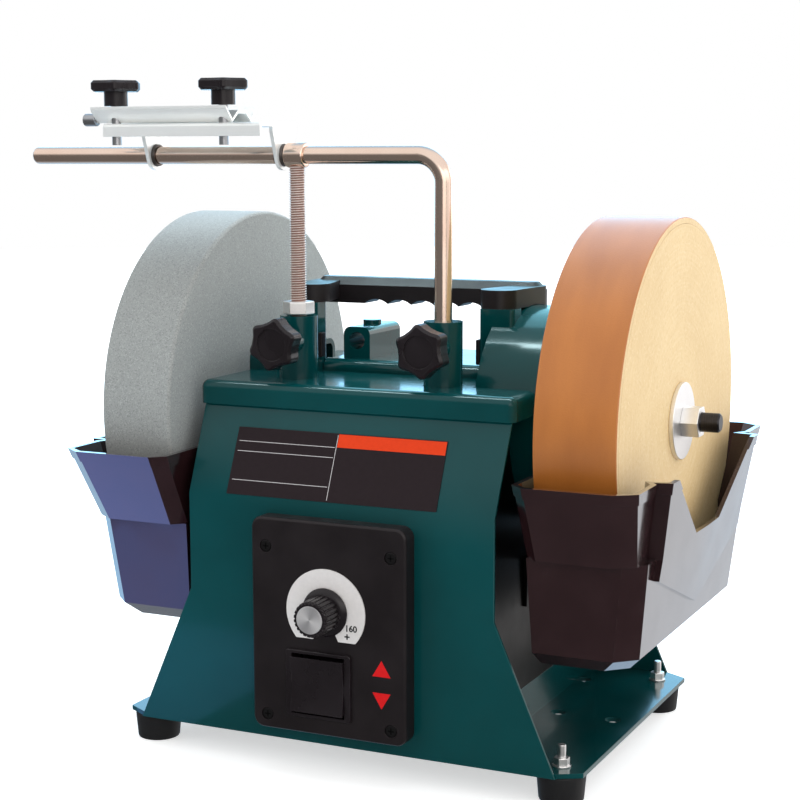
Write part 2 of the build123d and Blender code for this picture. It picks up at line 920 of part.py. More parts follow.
with BuildPart() as sleeve_right:
    add(sleeve(right_leg_x))
finish(sleeve_right, "sleeve_right")

with BuildPart() as horizontal_sleeve:
    flat_bore_height = platform_top + flat_sleeve_bore_rise
    flat_top = flat_bore_height + flat_sleeve_bore / 2 + flat_sleeve_wall_over_bore
    with BuildSketch(Plane.XZ.offset(-flat_sleeve_front_y - flat_sleeve_length)) as flat_profile:
        with Locations((flat_sleeve_x, (platform_top + flat_top) / 2)):
            Rectangle(flat_sleeve_width, flat_top - platform_top)
        fillet(flat_profile.vertices().group_by(Axis.Y)[-1], flat_sleeve_corner)
        with Locations((flat_sleeve_x, flat_bore_height)):
            Circle(flat_sleeve_bore / 2, mode=Mode.SUBTRACT)
    extrude(amount=flat_sleeve_length)
    rod_z(
        flat_top - seat_clearance,
        flat_top + flat_sleeve_boss_height,
        flat_sleeve_boss_diameter / 2,
        flat_sleeve_x,
        flat_sleeve_front_y + flat_sleeve_length / 2,
    )
finish(horizontal_sleeve, "horizontal_sleeve")

# Spindle, wheels and what clamps them
with BuildPart() as spindle:
    with BuildSketch(Plane.XZ):
        with BuildLine():
            Polyline(
                (stone_end, spindle_height),
                (stone_end, spindle_height + end_radius - thread_chamfer),
                (stone_end + thread_chamfer, spindle_height + end_radius),
                (collar_thickness - stone_inner_face, spindle_height + end_radius),
                (collar_thickness - stone_inner_face, spindle_height + spindle_radius),
                (leather_inner_face - collar_thickness, spindle_height + spindle_radius),
                (leather_inner_face - collar_thickness, spindle_height + end_radius),
                (leather_end - thread_chamfer, spindle_height + end_radius),
                (leather_end, spindle_height + end_radius - thread_chamfer),
                (leather_end, spindle_height),
                close=True,
            )
        make_face()
    revolve(axis=spindle_axis)
finish(spindle, "spindle")


def disc_pair(thickness, radius, stone_face, leather_face):
    """Two rings on the spindle's ends, given the faces that look at the body."""
    with BuildPart() as pair:
        rod_x(-stone_face - thickness, -stone_face, radius, 0, spindle_height)
        rod_x(leather_face, leather_face + thickness, radius, 0, spindle_height)
        rod_x(stone_end, leather_end, end_radius + seat_clearance, 0, spindle_height, mode=Mode.SUBTRACT)
    return pair.part


with BuildPart() as stone_wheel:
    rod_x(-stone_inner_face - wheel_width, -stone_inner_face, wheel_radius, 0, spindle_height)
    chamfer(stone_wheel.edges().filter_by(GeomType.CIRCLE), wheel_edge)
    rod_x(stone_end, 0, end_radius + seat_clearance, 0, spindle_height, mode=Mode.SUBTRACT)
finish(stone_wheel, "stone_wheel")

with BuildPart() as leather_wheel:
    rod_x(
        leather_inner_face,
        leather_inner_face + wheel_width,
        wheel_radius - tread_thickness,
        0,
        spindle_height,
    )
    rod_x(0, leather_end, end_radius + seat_clearance, 0, spindle_height, mode=Mode.SUBTRACT)
finish(leather_wheel, "leather_wheel")

with BuildPart() as leather_tread:
    rod_x(leather_inner_face, leather_inner_face + wheel_width, wheel_radius, 0, spindle_height)
    chamfer(leather_tread.edges().filter_by(GeomType.CIRCLE), tread_edge)
    rod_x(
        leather_inner_face - tread_thickness,
        leather_inner_face + wheel_width + tread_thickness,
        wheel_radius - tread_thickness + seat_clearance,
        0,
        spindle_height,
        mode=Mode.SUBTRACT,
    )
finish(leather_tread, "leather_tread")

with BuildPart() as wheel_collars:
    add(
        disc_pair(
            collar_thickness,
            collar_diameter / 2,
            stone_inner_face - collar_thickness,
            leather_inner_face - collar_thickness,
        )
    )
finish(wheel_collars, "wheel_collars")

with BuildPart() as wheel_washers:
    add(
        disc_pair(
            washer_thickness,
            washer_diameter / 2,
            stone_inner_face + wheel_width,
            leather_inner_face + wheel_width,
        )
    )
finish(wheel_washers, "wheel_washers")

with BuildPart() as wheel_nuts:
    for start in (thread_past_nut + stone_end, leather_end - thread_past_nut - nut_thickness):
        with BuildSketch(Plane.YZ.offset(start)):
            with Locations((0, spindle_height)):
                RegularPolygon(nut_flats / 2, 6, major_radius=False)
                Circle(end_radius + seat_clearance, mode=Mode.SUBTRACT)
        extrude(amount=nut_thickness)
finish(wheel_nuts, "wheel_nuts")

# Shielded ball bearings: the outer rings stay in the housings, the inner rings turn
inner_ring_radius = spindle_radius + bearing_ring
with BuildPart() as bearing_outer_rings:
    for start in (left_bearing_x, right_bearing_x):
        rod_x(start, start + bearing_width, bearing_radius, 0, spindle_height)
        rod_x(
            start,
            start + bearing_width,
            inner_ring_radius + passing_gap,
            0,
            spindle_height,
            mode=Mode.SUBTRACT,
        )
        rod_x(
            start + bearing_shield,
            start + bearing_width - bearing_shield,
            bearing_radius - bearing_ring,
            0,
            spindle_height,
            mode=Mode.SUBTRACT,
        )
finish(bearing_outer_rings, "bearing_outer_rings")

with BuildPart() as bearing_inner_rings:
    for start in (left_bearing_x, right_bearing_x):
        rod_x(start, start + bearing_width, inner_ring_radius, 0, spindle_height)
        rod_x(
            start,
            start + bearing_width,
            spindle_radius + seat_clearance,
            0,
            spindle_height,
            mode=Mode.SUBTRACT,
        )
finish(bearing_inner_rings, "bearing_inner_rings")

# Gears and their shafts
idler_direction = radians(idler_angle)
motor_direction = radians(motor_angle)
with BuildPart() as drive_gear:
    add(
        gear_blank(
            drive_gear_start,
            drive_gear_width,
            gear_outline(drive_teeth, drive_module, idler_direction, 0, spindle_height),
        )
    )
    web_recess = (drive_gear_width - drive_web_thickness) / 2
    for start in (drive_gear_start, drive_gear_start + drive_gear_width - web_recess):
        with BuildSketch(Plane.YZ.offset(start)):
            with Locations((0, spindle_height)):
                Circle(drive_pitch_radius - drive_module - drive_rim)
                Circle(gear_hub_diameter / 2, mode=Mode.SUBTRACT)
        extrude(amount=web_recess, mode=Mode.SUBTRACT)
    with BuildSketch(Plane.YZ.offset(drive_gear_start)):
        with Locations((0, spindle_height)):
            with PolarLocations((drive_pitch_radius + gear_hub_diameter / 2) / 2, drive_web_holes):
                Circle(drive_web_hole_diameter / 2)
    extrude(amount=drive_gear_width, mode=Mode.SUBTRACT)
    rod_x(
        drive_gear_start,
        drive_gear_start + drive_gear_width,
        spindle_radius + seat_clearance,
        0,
        spindle_height,
        mode=Mode.SUBTRACT,
    )
finish(drive_gear, "drive_gear")

with BuildPart() as idler_pinion:
    add(
        gear_blank(
            drive_gear_start - pinion_overlap,
            drive_gear_width + 2 * pinion_overlap,
            gear_outline(
                idler_pinion_teeth,
                drive_module,
                idler_direction + pi + pi / idler_pinion_teeth,
                idler_y,
                idler_z,
            ),
        )
    )
    rod_x(
        drive_gear_start - pinion_overlap,
        drive_gear_start + drive_gear_width + pinion_overlap,
        idler_shaft_radius + seat_clearance,
        idler_y,
        idler_z,
        mode=Mode.SUBTRACT,
    )
finish(idler_pinion, "idler_pinion")

with BuildPart() as idler_gear:
    add(
        gear_blank(
            idler_gear_start,
            idler_gear_width,
            gear_outline(idler_teeth, motor_module, motor_direction, idler_y, idler_z),
        )
    )
    rod_x(
        idler_gear_start,
        idler_gear_start + idler_gear_width,
        idler_shaft_radius + seat_clearance,
        idler_y,
        idler_z,
        mode=Mode.SUBTRACT,
    )
finish(idler_gear, "idler_gear")

with BuildPart() as idler_shaft:
    rod_x(dome_inner_face + passing_gap, idler_shaft_end, idler_shaft_radius, idler_y, idler_z)
finish(idler_shaft, "idler_shaft")

with BuildPart() as motor_pinion:
    add(
        gear_blank(
            idler_gear_start - pinion_overlap,
            idler_gear_width + 2 * pinion_overlap,
            gear_outline(
                motor_pinion_teeth,
                motor_module,
                motor_direction + pi + pi / motor_pinion_teeth,
                motor_y,
                motor_z,
            ),
        )
    )
    rod_x(
        idler_gear_start - pinion_overlap,
        idler_gear_start + idler_gear_width + pinion_overlap,
        motor_shaft_radius + seat_clearance,
        motor_y,
        motor_z,
        mode=Mode.SUBTRACT,
    )
finish(motor_pinion, "motor_pinion")

with BuildPart() as motor_shaft:
    rod_x(
        dome_inner_face - motor_shaft_depth,
        idler_gear_start + idler_gear_width + pinion_overlap,
        motor_shaft_radius,
        motor_y,
        motor_z,
    )
finish(motor_shaft, "motor_shaft")

# Motor and speed board inside the body
with BuildPart() as motor_body:
    motor_start = dome_inner_face - motor_length
    rod_x(motor_start, dome_inner_face, motor_radius - motor_end_step, motor_y, motor_z)
    rod_x(motor_start + motor_end_bell, dome_inner_face - motor_end_bell, motor_radius, motor_y, motor_z)
    rod_x(
        dome_inner_face - motor_shaft_depth - passing_gap,
        dome_inner_face,
        motor_shaft_radius + running_clearance,
        motor_y,
        motor_z,
        mode=Mode.SUBTRACT,
    )
finish(motor_body, "motor_body")

with BuildPart() as speed_board:
    board_bottom = plate_top + board_standoff
    board_top = board_bottom + board_thickness
    board_y = plate_rear - board_from_rear - board_width / 2
    block(
        (board_x - board_length / 2, board_x + board_length / 2),
        (board_y - board_width / 2, board_y + board_width / 2),
        (board_bottom, board_top),
    )
    with BuildSketch(Plane.XY.offset(plate_top)):
        with Locations((board_x, board_y)):
            with GridLocations(board_length - board_standoff, board_width - board_standoff, 2, 2):
                Circle(board_standoff_diameter / 2)
    extrude(amount=board_standoff)
    rod_z(board_top, board_top + capacitor_height, capacitor_diameter / 2, board_x, board_y)
    block(
        (board_x + capacitor_diameter, board_x + capacitor_diameter + heat_sink_width),
        (board_y - heat_sink_length / 2, board_y + heat_sink_length / 2),
        (board_top, board_top + heat_sink_height),
    )
finish(speed_board, "speed_board")

# Control box, speed dial and reversing switch
box_middle_height = box_over_floor + box_height / 2
box_screw_places = [
    (side * box_screw_x, z)
    for side in (-1, 1)
    for z in (box_over_floor + box_screw_inset, box_over_floor + box_height - 2 * box_screw_inset)
]
pot_back = box_front + box_front_wall + pot_depth
dial_axis = Axis((dial_x, 0, dial_height), (0, 1, 0))
with BuildPart() as control_box:
    with BuildSketch(Plane.XZ.offset(-front_face)):
        with Locations((0, box_middle_height)):
            RectangleRounded(2 * box_half_width, box_height, box_corner_radius)
    extrude(amount=box_depth)
    fillet(control_box.faces().sort_by(Axis.Y)[0].edges(), box_edge_radius)
    with BuildSketch(Plane.XZ.offset(-front_face)):
        with Locations((0, box_middle_height)):
            RectangleRounded(
                2 * (box_half_width - box_wall), box_height - 2 * box_wall, box_corner_radius - box_wall
            )
    extrude(amount=box_depth - box_front_wall, mode=Mode.SUBTRACT)
    for x, z in box_screw_places:
        rod_y(box_front + box_front_wall, front_face, box_screw_recess_diameter / 2, x, z)
        rod_y(
            box_front,
            box_front + box_screw_recess_depth,
            box_screw_recess_diameter / 2,
            x,
            z,
            mode=Mode.SUBTRACT,
        )
    rod_y(
        box_front,
        box_front + box_front_wall,
        pot_bush_diameter / 2 + seat_clearance,
        dial_x,
        dial_height,
        mode=Mode.SUBTRACT,
    )
    with BuildSketch(Plane.XZ.offset(-front_face)):
        with Locations((switch_x, switch_height)):
            Rectangle(tub_width + 2 * seat_clearance, tub_height + 2 * seat_clearance)
    extrude(amount=box_depth, mode=Mode.SUBTRACT)
finish(control_box, "control_box")

with BuildPart() as dial_ring:
    gap_drop = dial_ring_diameter
    gap_half_width = gap_drop * tan(radians(dial_gap_angle / 2))
    with BuildSketch(Plane.XZ.offset(-box_front)):
        with Locations((dial_x, dial_height)):
            Circle(dial_ring_diameter / 2)
            Circle(dial_ring_hole / 2, mode=Mode.SUBTRACT)
        with BuildLine():
            Polyline(
                (dial_x, dial_height),
                (dial_x - gap_half_width, dial_height - gap_drop),
                (dial_x + gap_half_width, dial_height - gap_drop),
                close=True,
            )
        make_face(mode=Mode.SUBTRACT)
        with Locations((dial_x, dial_height - dial_flat_drop - dial_ring_diameter / 2)):
            Rectangle(2 * dial_ring_diameter, dial_ring_diameter, mode=Mode.SUBTRACT)
    extrude(amount=dial_ring_thickness)
finish(dial_ring, "dial_ring")

with BuildPart() as potentiometer:
    rod_y(box_front + box_front_wall, pot_back, pot_diameter / 2, dial_x, dial_height)
    rod_y(box_front - dial_ring_thickness, pot_back, pot_bush_diameter / 2, dial_x, dial_height)
    rod_y(
        box_front - dial_ring_thickness,
        pot_back - box_front_wall / 2,
        pot_shaft_diameter / 2 + running_clearance,
        dial_x,
        dial_height,
        mode=Mode.SUBTRACT,
    )
finish(potentiometer, "potentiometer")

with BuildPart() as pot_shaft:
    rod_y(
        knob_back - pot_shaft_in_knob,
        pot_back - box_front_wall / 2 - passing_gap,
        pot_shaft_diameter / 2,
        dial_x,
        dial_height,
    )
finish(pot_shaft, "pot_shaft")

with BuildPart() as speed_knob:
    skirt_radius = knob_skirt_diameter / 2
    barrel_radius = knob_barrel_diameter / 2
    cap_seat_radius = knob_cap_diameter / 2 + seat_clearance
    with BuildSketch(Plane((dial_x, 0, dial_height))):
        with BuildLine():
            Polyline(
                (0, knob_back),
                (skirt_radius, knob_back),
                (skirt_radius, knob_back - knob_skirt_thickness / 3),
                (barrel_radius, knob_back - knob_skirt_thickness),
                (barrel_radius - knob_barrel_taper / 2, knob_front + knob_barrel_taper / 2),
                (barrel_radius - knob_barrel_taper, knob_front),
                (cap_seat_radius, knob_front),
                (cap_seat_radius, knob_front + knob_cap_depth),
                (0, knob_front + knob_cap_depth),
                close=True,
            )
        make_face()
    revolve(axis=dial_axis)
    rod_y(
        knob_back - pot_shaft_in_knob,
        knob_back,
        pot_shaft_diameter / 2 + seat_clearance,
        dial_x,
        dial_height,
        mode=Mode.SUBTRACT,
    )
finish(speed_knob, "speed_knob")

with BuildPart() as knob_cap:
    rod_y(
        knob_front - knob_cap_proud,
        knob_front + knob_cap_depth,
        knob_cap_diameter / 2,
        dial_x,
        dial_height,
    )
finish(knob_cap, "knob_cap")

rocker_room_width = bezel_width - 2 * bezel_side
rocker_room_height = bezel_height - 2 * bezel_border
rocker_pivot_y = box_front + rocker_pivot_depth
with BuildPart() as switch_body:
    with BuildSketch(Plane.XZ.offset(-box_front)):
        with Locations((switch_x, switch_height)):
            RectangleRounded(bezel_width, bezel_height, bezel_border)
    extrude(amount=bezel_thickness)
    with BuildSketch(Plane.XZ.offset(bezel_thickness - box_front)):
        with Locations((switch_x, switch_height)):
            Rectangle(tub_width, tub_height)
    extrude(amount=-switch_depth - bezel_thickness, mode=Mode.ADD)
    fillet(switch_body.faces().sort_by(Axis.Y)[0].edges(), bezel_border / 3)
    with BuildSketch(Plane.XZ.offset(bezel_thickness - box_front)):
        with Locations((switch_x, switch_height)):
            Rectangle(rocker_room_width, rocker_room_height)
    extrude(amount=-bezel_thickness - rocker_depth - rocker_pivot_depth, mode=Mode.SUBTRACT)
    rod_x(
        switch_x - tub_width / 2,
        switch_x + tub_width / 2,
        rocker_pin_diameter / 2 + running_clearance,
        rocker_pivot_y,
        switch_height,
        mode=Mode.SUBTRACT,
    )
finish(switch_body, "switch_body")

with BuildPart() as rocker:
    rocker_half = rocker_room_height / 2 - rocker_swing_room
    rocker_width = rocker_room_width - 2 * passing_gap
    with BuildSketch(Plane.YZ.offset(switch_x - rocker_width / 2)):
        with BuildLine():
            Polyline(
                (box_front - rocker_proud, switch_height + rocker_half),
                (box_front - rocker_proud + rocker_dip, switch_height),
                (box_front - rocker_proud, switch_height - rocker_half),
                (rocker_pivot_y, switch_height - rocker_half + rocker_swing_room),
                (rocker_pivot_y + rocker_depth / 2, switch_height),
                (rocker_pivot_y, switch_height + rocker_half - rocker_swing_room),
                close=True,
            )
        make_face()
    extrude(amount=rocker_width)
    rod_x(
        switch_x - tub_width / 2 + passing_gap,
        switch_x + tub_width / 2 - passing_gap,
        rocker_pin_diameter / 2,
        rocker_pivot_y,
        switch_height,
    )
finish(rocker, "rocker")


# Star knobs, for the lock screws and for the jig
def star_knob(diameter, thickness, neck_diameter, neck_length, screw_diameter, screw_length):
    """Lobed knob whose neck stands on the XY plane, with its screw below."""
    mean_radius = diameter / 2 - star_wave * (1 + lobe_sharpness)
    steps = [2 * pi * i / (star_lobes * lobe_points) for i in range(star_lobes * lobe_points)]
    waves = [cos(star_lobes * t) + lobe_sharpness * cos(2 * star_lobes * t) for t in steps]
    radii = [mean_radius + star_wave * wave for wave in waves]
    with BuildPart() as knob:
        with BuildSketch(Plane.XY.offset(neck_length)):
            with BuildLine():
                Spline(*[(r * cos(t), r * sin(t)) for r, t in zip(radii, steps)], periodic=True)
            make_face()
        extrude(amount=thickness)
        chamfer(knob.faces().filter_by(Axis.Z).edges(), star_edge)
        rod_z(0, neck_length + star_edge, neck_diameter / 2, 0, 0)
        rod_z(-screw_length, neck_length, screw_diameter / 2, 0, 0)
    return knob.part


def lock_knob(x, leg_radius, rest_angle):
    """Dished star knob on the front of a sleeve, with its screw just short of the leg."""
    seat_y = leg_y - sleeve_boss_reach - passing_gap
    screw_length = sleeve_boss_reach - leg_radius
    face = lock_neck_length + lock_star_thickness
    with BuildPart() as knob:
        add(
            star_knob(
                lock_star_diameter,
                lock_star_thickness,
                lock_neck_diameter,
                lock_neck_length,
                lock_screw_diameter,
                screw_length,
            )
        )
        rod_z(face - lock_dish_depth, face, lock_dish_diameter / 2, 0, 0, mode=Mode.SUBTRACT)
    turned = knob.part.rotate(Axis.Z, rest_angle)
    return turned.moved(Plane((x, seat_y, lock_height), x_dir=(1, 0, 0), z_dir=(0, -1, 0)).location)


with BuildPart() as lock_knob_left:
    add(lock_knob(left_leg_x, threaded_leg_diameter / 2, lock_left_rest_angle))
finish(lock_knob_left, "lock_knob_left")

with BuildPart() as lock_knob_right:
    add(lock_knob(right_leg_x, bar_radius, lock_right_rest_angle))
finish(lock_knob_right, "lock_knob_right")

# Support bar with its smooth leg, the threaded leg and the height nut
with BuildPart() as support_bar:
    with BuildLine() as bar_path:
        FilletPolyline(
            (bar_left_end, leg_y, bar_height),
            (right_leg_x, leg_y, bar_height),
            (right_leg_x, leg_y, leg_end),
            radius=bar_bend_radius,
        )
    with BuildSketch(Plane(bar_path.line @ 0, z_dir=bar_path.line % 0)):
        Circle(bar_radius)
    sweep()
    fillet(support_bar.faces().sort_by(Axis.X)[0].edges(), bar_end_radius)
finish(support_bar, "support_bar")

with BuildPart() as threaded_leg:
    collar_start = left_leg_x - leg_collar_length / 2
    rod_z(leg_end, bar_height, threaded_leg_diameter / 2, left_leg_x, leg_y)
    rod_x(collar_start, collar_start + leg_collar_length, leg_collar_diameter / 2, leg_y, bar_height)
    rod_x(
        collar_start,
        collar_start + leg_collar_length,
        bar_radius + seat_clearance,
        leg_y,
        bar_height,
        mode=Mode.SUBTRACT,
    )
finish(threaded_leg, "threaded_leg")

with BuildPart() as height_nut:
    nut_bottom = sleeve_top + height_nut_gap
    with BuildSketch(Plane.XY.offset(nut_bottom)):
        with Locations((left_leg_x, leg_y)):
            RegularPolygon(height_nut_flats / 2, 6, major_radius=False, rotation=height_nut_rest_angle)
    extrude(amount=height_nut_thickness)
    chamfer(height_nut.faces().filter_by(Axis.Z).edges(), height_nut_edge)
    rod_z(
        nut_bottom,
        nut_bottom + height_nut_thickness,
        threaded_leg_diameter / 2 + running_clearance,
        left_leg_x,
        leg_y,
        mode=Mode.SUBTRACT,
    )
finish(height_nut, "height_nut")

# Knife jig that slides and tips on the bar
jig_right = left_leg_x - leg_collar_length / 2 - bush_overhang - passing_gap
jig_left = jig_right - jig_length
jig_top = bar_height + jig_over_bar
jig_underside = jig_top - jig_sheet
ear_starts = (jig_right - jig_sheet, jig_left + jig_left_ear_inset)
bush_radius = bush_diameter / 2
clamp_bottom = jig_top + clamp_gap
clamp_left = jig_left - clamp_left_overhang
clamp_right = clamp_left + clamp_length
jig_screw_places = [
    (x, clamp_groove_y) for x in (jig_left + jig_screw_inset, clamp_right - jig_screw_inset)
]
with BuildPart() as jig_bushes:
    for start in ear_starts:
        rod_x(start - bush_overhang, start + jig_sheet + bush_overhang, bush_radius, leg_y, bar_height)
    rod_x(
        jig_left - clamp_left_overhang,
        jig_right + 2 * bush_overhang,
        bar_radius + running_clearance,
        leg_y,
        bar_height,
        mode=Mode.SUBTRACT,
    )
finish(jig_bushes, "jig_bushes")

with BuildPart() as jig_base:
    with BuildSketch(Plane.YZ.offset(jig_left)):
        with BuildLine():
            Polyline(
                (jig_rear_y, jig_top),
                (jig_front_y, jig_top),
                (jig_front_y, jig_top - jig_lip),
                (jig_front_y + jig_sheet, jig_top - jig_lip),
                (jig_front_y + jig_sheet, jig_underside),
                (jig_rear_y, jig_underside),
                close=True,
            )
        make_face()
    extrude(amount=jig_length)
    front_edges = jig_base.edges().filter_by(Axis.X).group_by(Axis.Y)[0]
    fillet(front_edges.sort_by(Axis.Z)[-1], jig_sheet * 0.9)
    for start in ear_starts:
        with BuildSketch(Plane.YZ.offset(start)):
            with Locations((leg_y, bar_height)):
                Circle(jig_ear_radius)
            with Locations((leg_y, jig_underside - jig_sheet / 2)):
                Rectangle(jig_ear_width_top, jig_sheet)
            make_hull()
        extrude(amount=jig_sheet)
        rod_x(
            start, start + jig_sheet, bush_radius + running_clearance, leg_y, bar_height, mode=Mode.SUBTRACT
        )
    for x, y in jig_screw_places:
        rod_z(
            jig_top - jig_lip, jig_top, jig_screw_diameter / 2 + running_clearance, x, y, mode=Mode.SUBTRACT
        )
finish(jig_base, "jig_base")

with BuildPart() as jig_clamp:
    fold = [
        (clamp_front_y, clamp_bottom + clamp_flange_rise),
        (clamp_groove_y, clamp_bottom),
        (clamp_ridge_front_y, clamp_bottom + clamp_ridge_rise),
        (clamp_ridge_rear_y, clamp_bottom + clamp_ridge_rise),
        (clamp_foot_y, clamp_bottom),
        (clamp_rear_y, clamp_bottom + clamp_flange_rise),
    ]
    with BuildSketch(Plane.YZ.offset(clamp_left)):
        with BuildLine():
            Polyline(*fold, *[(y, z + clamp_sheet) for y, z in reversed(fold)], close=True)
        make_face()
    extrude(amount=clamp_length)
    for x, y in jig_screw_places:
        rod_z(
            clamp_bottom - clamp_sheet,
            clamp_bottom + clamp_flange_rise + clamp_sheet,
            jig_screw_diameter / 2 + running_clearance,
            x,
            y,
            mode=Mode.SUBTRACT,
        )
finish(jig_clamp, "jig_clamp")

with BuildPart() as jig_stub:
    stub_height = clamp_bottom + clamp_sheet
    rod_x(clamp_left - stub_length, clamp_left, stub_diameter / 2, clamp_groove_y, stub_height)
finish(jig_stub, "jig_stub")


def jig_knob(place):
    """Star knob above the clamp plate, with its screw down through the jig's base."""
    seat_z = clamp_bottom + clamp_flange_rise + clamp_sheet + passing_gap
    knob = star_knob(
        jig_star_diameter,
        jig_star_thickness,
        jig_neck_diameter,
        jig_neck_length,
        jig_screw_diameter,
        seat_z - jig_underside + jig_screw_below_base,
    )
    return knob.moved(Location((*place, seat_z)))


with BuildPart() as jig_knob_left:
    add(jig_knob(jig_screw_places[0]))
finish(jig_knob_left, "jig_knob_left")

with BuildPart() as jig_knob_right:
    add(jig_knob(jig_screw_places[1]))
finish(jig_knob_right, "jig_knob_right")

# Water troughs: modelled once from the inner wall outwards, then set at each end
rim_height = spindle_height - trough_rim_drop
step_height = spindle_height - trough_step_drop
floor_underside = spindle_height - wheel_radius - trough_floor_gap - trough_wall
lip_height = rim_height - trough_lip_height
hanger_lip_top = spindle_height - hook_drop
wheel_outer = trough_wall_gap + wheel_width
step_front = rim_front - trough_taper
rim_side = wheel_outer + trough_side_gap
step_side = rim_side - trough_side_taper
rim_groove = rim_front - groove_from_front
step_groove = rim_groove - groove_taper


def both_halves(half):
    """Outline through the points of the front half and their mirror images."""
    rear = [(u, y) for u, y in reversed(half) if y != 0]
    return [(u, -y) for u, y in half] + rear


def upper_outline(front, side, groove):
    """Outline of the upper tub, given how far its front, side strip and groove reach."""
    return both_halves(
        [
            (0, front - trough_inner_chamfer),
            (trough_inner_chamfer, front),
            (side - trough_front_chamfer, front),
            (side, front - trough_front_chamfer_run),
            (side, groove),
            (side - groove_depth, groove - groove_width),
            (side + bulge_step, groove - groove_width - groove_depth / 2),
            (side + bulge_step + bulge_swell, 0),
        ]
    )


def lower_outline(front, inner, side):
    """Outline of the lower box, given how far its front, inner wall and side reach."""
    return both_halves([(inner, front), (side - lower_chamfer, front), (side, front - lower_chamfer)])


def keel_outline(side):
    """Outline of the bulge below the tub."""
    edge = step_groove - groove_width - groove_depth / 2
    return both_halves(
        [(wheel_outer, edge), (side + bulge_step, edge), (side + bulge_step + bulge_swell, 0)]
    )


def grown(outline, amount):
    """Outline with every edge moved outwards by an amount, or inwards if it is negative."""
    moved = []
    for before, here, after in zip(outline[-1:] + outline[:-1], outline, outline[1:] + outline[:1]):
        normals = []
        for start, end in ((before, here), (here, after)):
            length = hypot(end[0] - start[0], end[1] - start[1])
            normals.append(((end[1] - start[1]) / length, (start[0] - end[0]) / length))
        (ax, ay), (bx, by) = normals
        share = amount / (1 + ax * bx + ay * by)
        moved.append((here[0] + share * (ax + bx), here[1] + share * (ay + by)))
    return moved


def blended(lower, upper, share):
    """Outline part of the way from one outline to another."""
    return [(a + (c - a) * share, b + (d - b) * share) for (a, b), (c, d) in zip(lower, upper)]


def lofted(*levels):
    """Straight-sided solid through outlines at their heights."""
    with BuildPart() as form:
        for height, outline in levels:
            with BuildSketch(Plane.XY.offset(height)):
                with BuildLine():
                    Polyline(*outline, close=True)
                make_face()
        loft(ruled=True)
    return form.part


def keel(inset, top):
    """Bulge whose underside falls towards the middle; inset is the wall for its hollow."""
    keel_bottom = step_height - keel_drop
    taper = trough_side_taper * keel_drop / (trough_step_drop - trough_rim_drop)
    edge = step_groove
    with BuildPart() as bulge:
        add(
            lofted(
                (keel_bottom, grown(keel_outline(step_side - taper), -inset)),
                (top, grown(keel_outline(step_side), -inset)),
            )
        )
        with BuildSketch(Plane.YZ):
            with BuildLine():
                Polyline(
                    (-edge, top),
                    (-edge, step_height - keel_edge_drop + inset),
                    (0, keel_bottom + inset),
                    (edge, step_height - keel_edge_drop + inset),
                    (edge, top),
                    close=True,
                )
            make_face()
        extrude(amount=2 * rim_side, mode=Mode.INTERSECT)
    return bulge.part


def throat():
    """Way from the tub down into the box, where both are hollow, through the floor between them."""
    with BuildPart() as passage:
        for mode, outline in ((Mode.ADD, step_outline), (Mode.INTERSECT, lower_top)):
            inside = grown(outline, -trough_wall)
            add(lofted((step_height - trough_wall, inside), (step_height + trough_wall, inside)), mode=mode)
    return passage.part


rim_outline = upper_outline(rim_front, rim_side, rim_groove)
step_outline = upper_outline(step_front, step_side, step_groove)
lip_outline = blended(step_outline, rim_outline, (lip_height - step_height) / (rim_height - step_height))
lower_front = step_front - lower_front_gap
lower_side = wheel_outer + lower_side_gap
lower_top = lower_outline(lower_front, 0, lower_side)
lower_bottom = lower_outline(lower_front - lower_taper, lower_draft, lower_side - lower_taper)
floor_outline = lower_outline(
    lower_front - lower_taper - trough_bottom_chamfer,
    lower_draft + trough_inner_bottom_chamfer,
    lower_side - lower_taper - trough_bottom_chamfer,
)
chamfer_height = floor_underside + trough_bottom_chamfer
with BuildPart() as trough_form:
    add(lofted((step_height, step_outline), (rim_height, rim_outline)))
    add(lofted((lip_height, grown(lip_outline, trough_lip)), (rim_height, grown(rim_outline, trough_lip))))
    add(
        lofted(
            (floor_underside, floor_outline),
            (chamfer_height, lower_bottom),
            (step_height, lower_top),
        )
    )
    add(keel(0, step_height))
    add(
        lofted(
            (step_height + trough_wall, grown(step_outline, -trough_wall)),
            (rim_height, grown(rim_outline, -trough_wall)),
        ),
        mode=Mode.SUBTRACT,
    )
    add(
        lofted(
            (floor_underside + trough_wall, grown(floor_outline, -trough_wall / 2)),
            (chamfer_height + trough_wall / 2, grown(lower_bottom, -trough_wall)),
            (step_height - trough_wall, grown(lower_top, -trough_wall)),
        ),
        mode=Mode.SUBTRACT,
    )
    add(throat(), mode=Mode.SUBTRACT)
    add(keel(trough_wall, step_height + trough_wall), mode=Mode.SUBTRACT)
    with BuildSketch(Plane.YZ.offset(wheel_outer)):
        with BuildLine():
            notch_floor = step_height + notch_floor_rise
            Polyline(
                (-notch_half_top, rim_height + trough_wall),
                (-notch_half_bottom, notch_floor),
                (notch_half_bottom, notch_floor),
                (notch_half_top, rim_height + trough_wall),
                close=True,
            )
        make_face()
    extrude(amount=rim_side, mode=Mode.SUBTRACT)
    rod_x(
        -trough_wall,
        2 * trough_wall,
        collar_diameter / 2 + collar_room,
        0,
        spindle_height,
        mode=Mode.SUBTRACT,
    )
    with BuildSketch(Plane.XZ):
        with BuildLine():
            hook_underside = hanger_lip_top + passing_gap
            Polyline(
                (trough_wall / 2, hook_underside),
                (trough_wall / 2, hook_underside + trough_wall),
                (-hook_reach, hook_underside + trough_wall),
                (-hook_reach, hanger_lip_top - hook_grip),
                (trough_wall - hook_reach, hanger_lip_top - hook_grip),
                (trough_wall - hook_reach, hook_underside),
                close=True,
            )
        make_face()
    extrude(amount=hook_half_length, both=True)

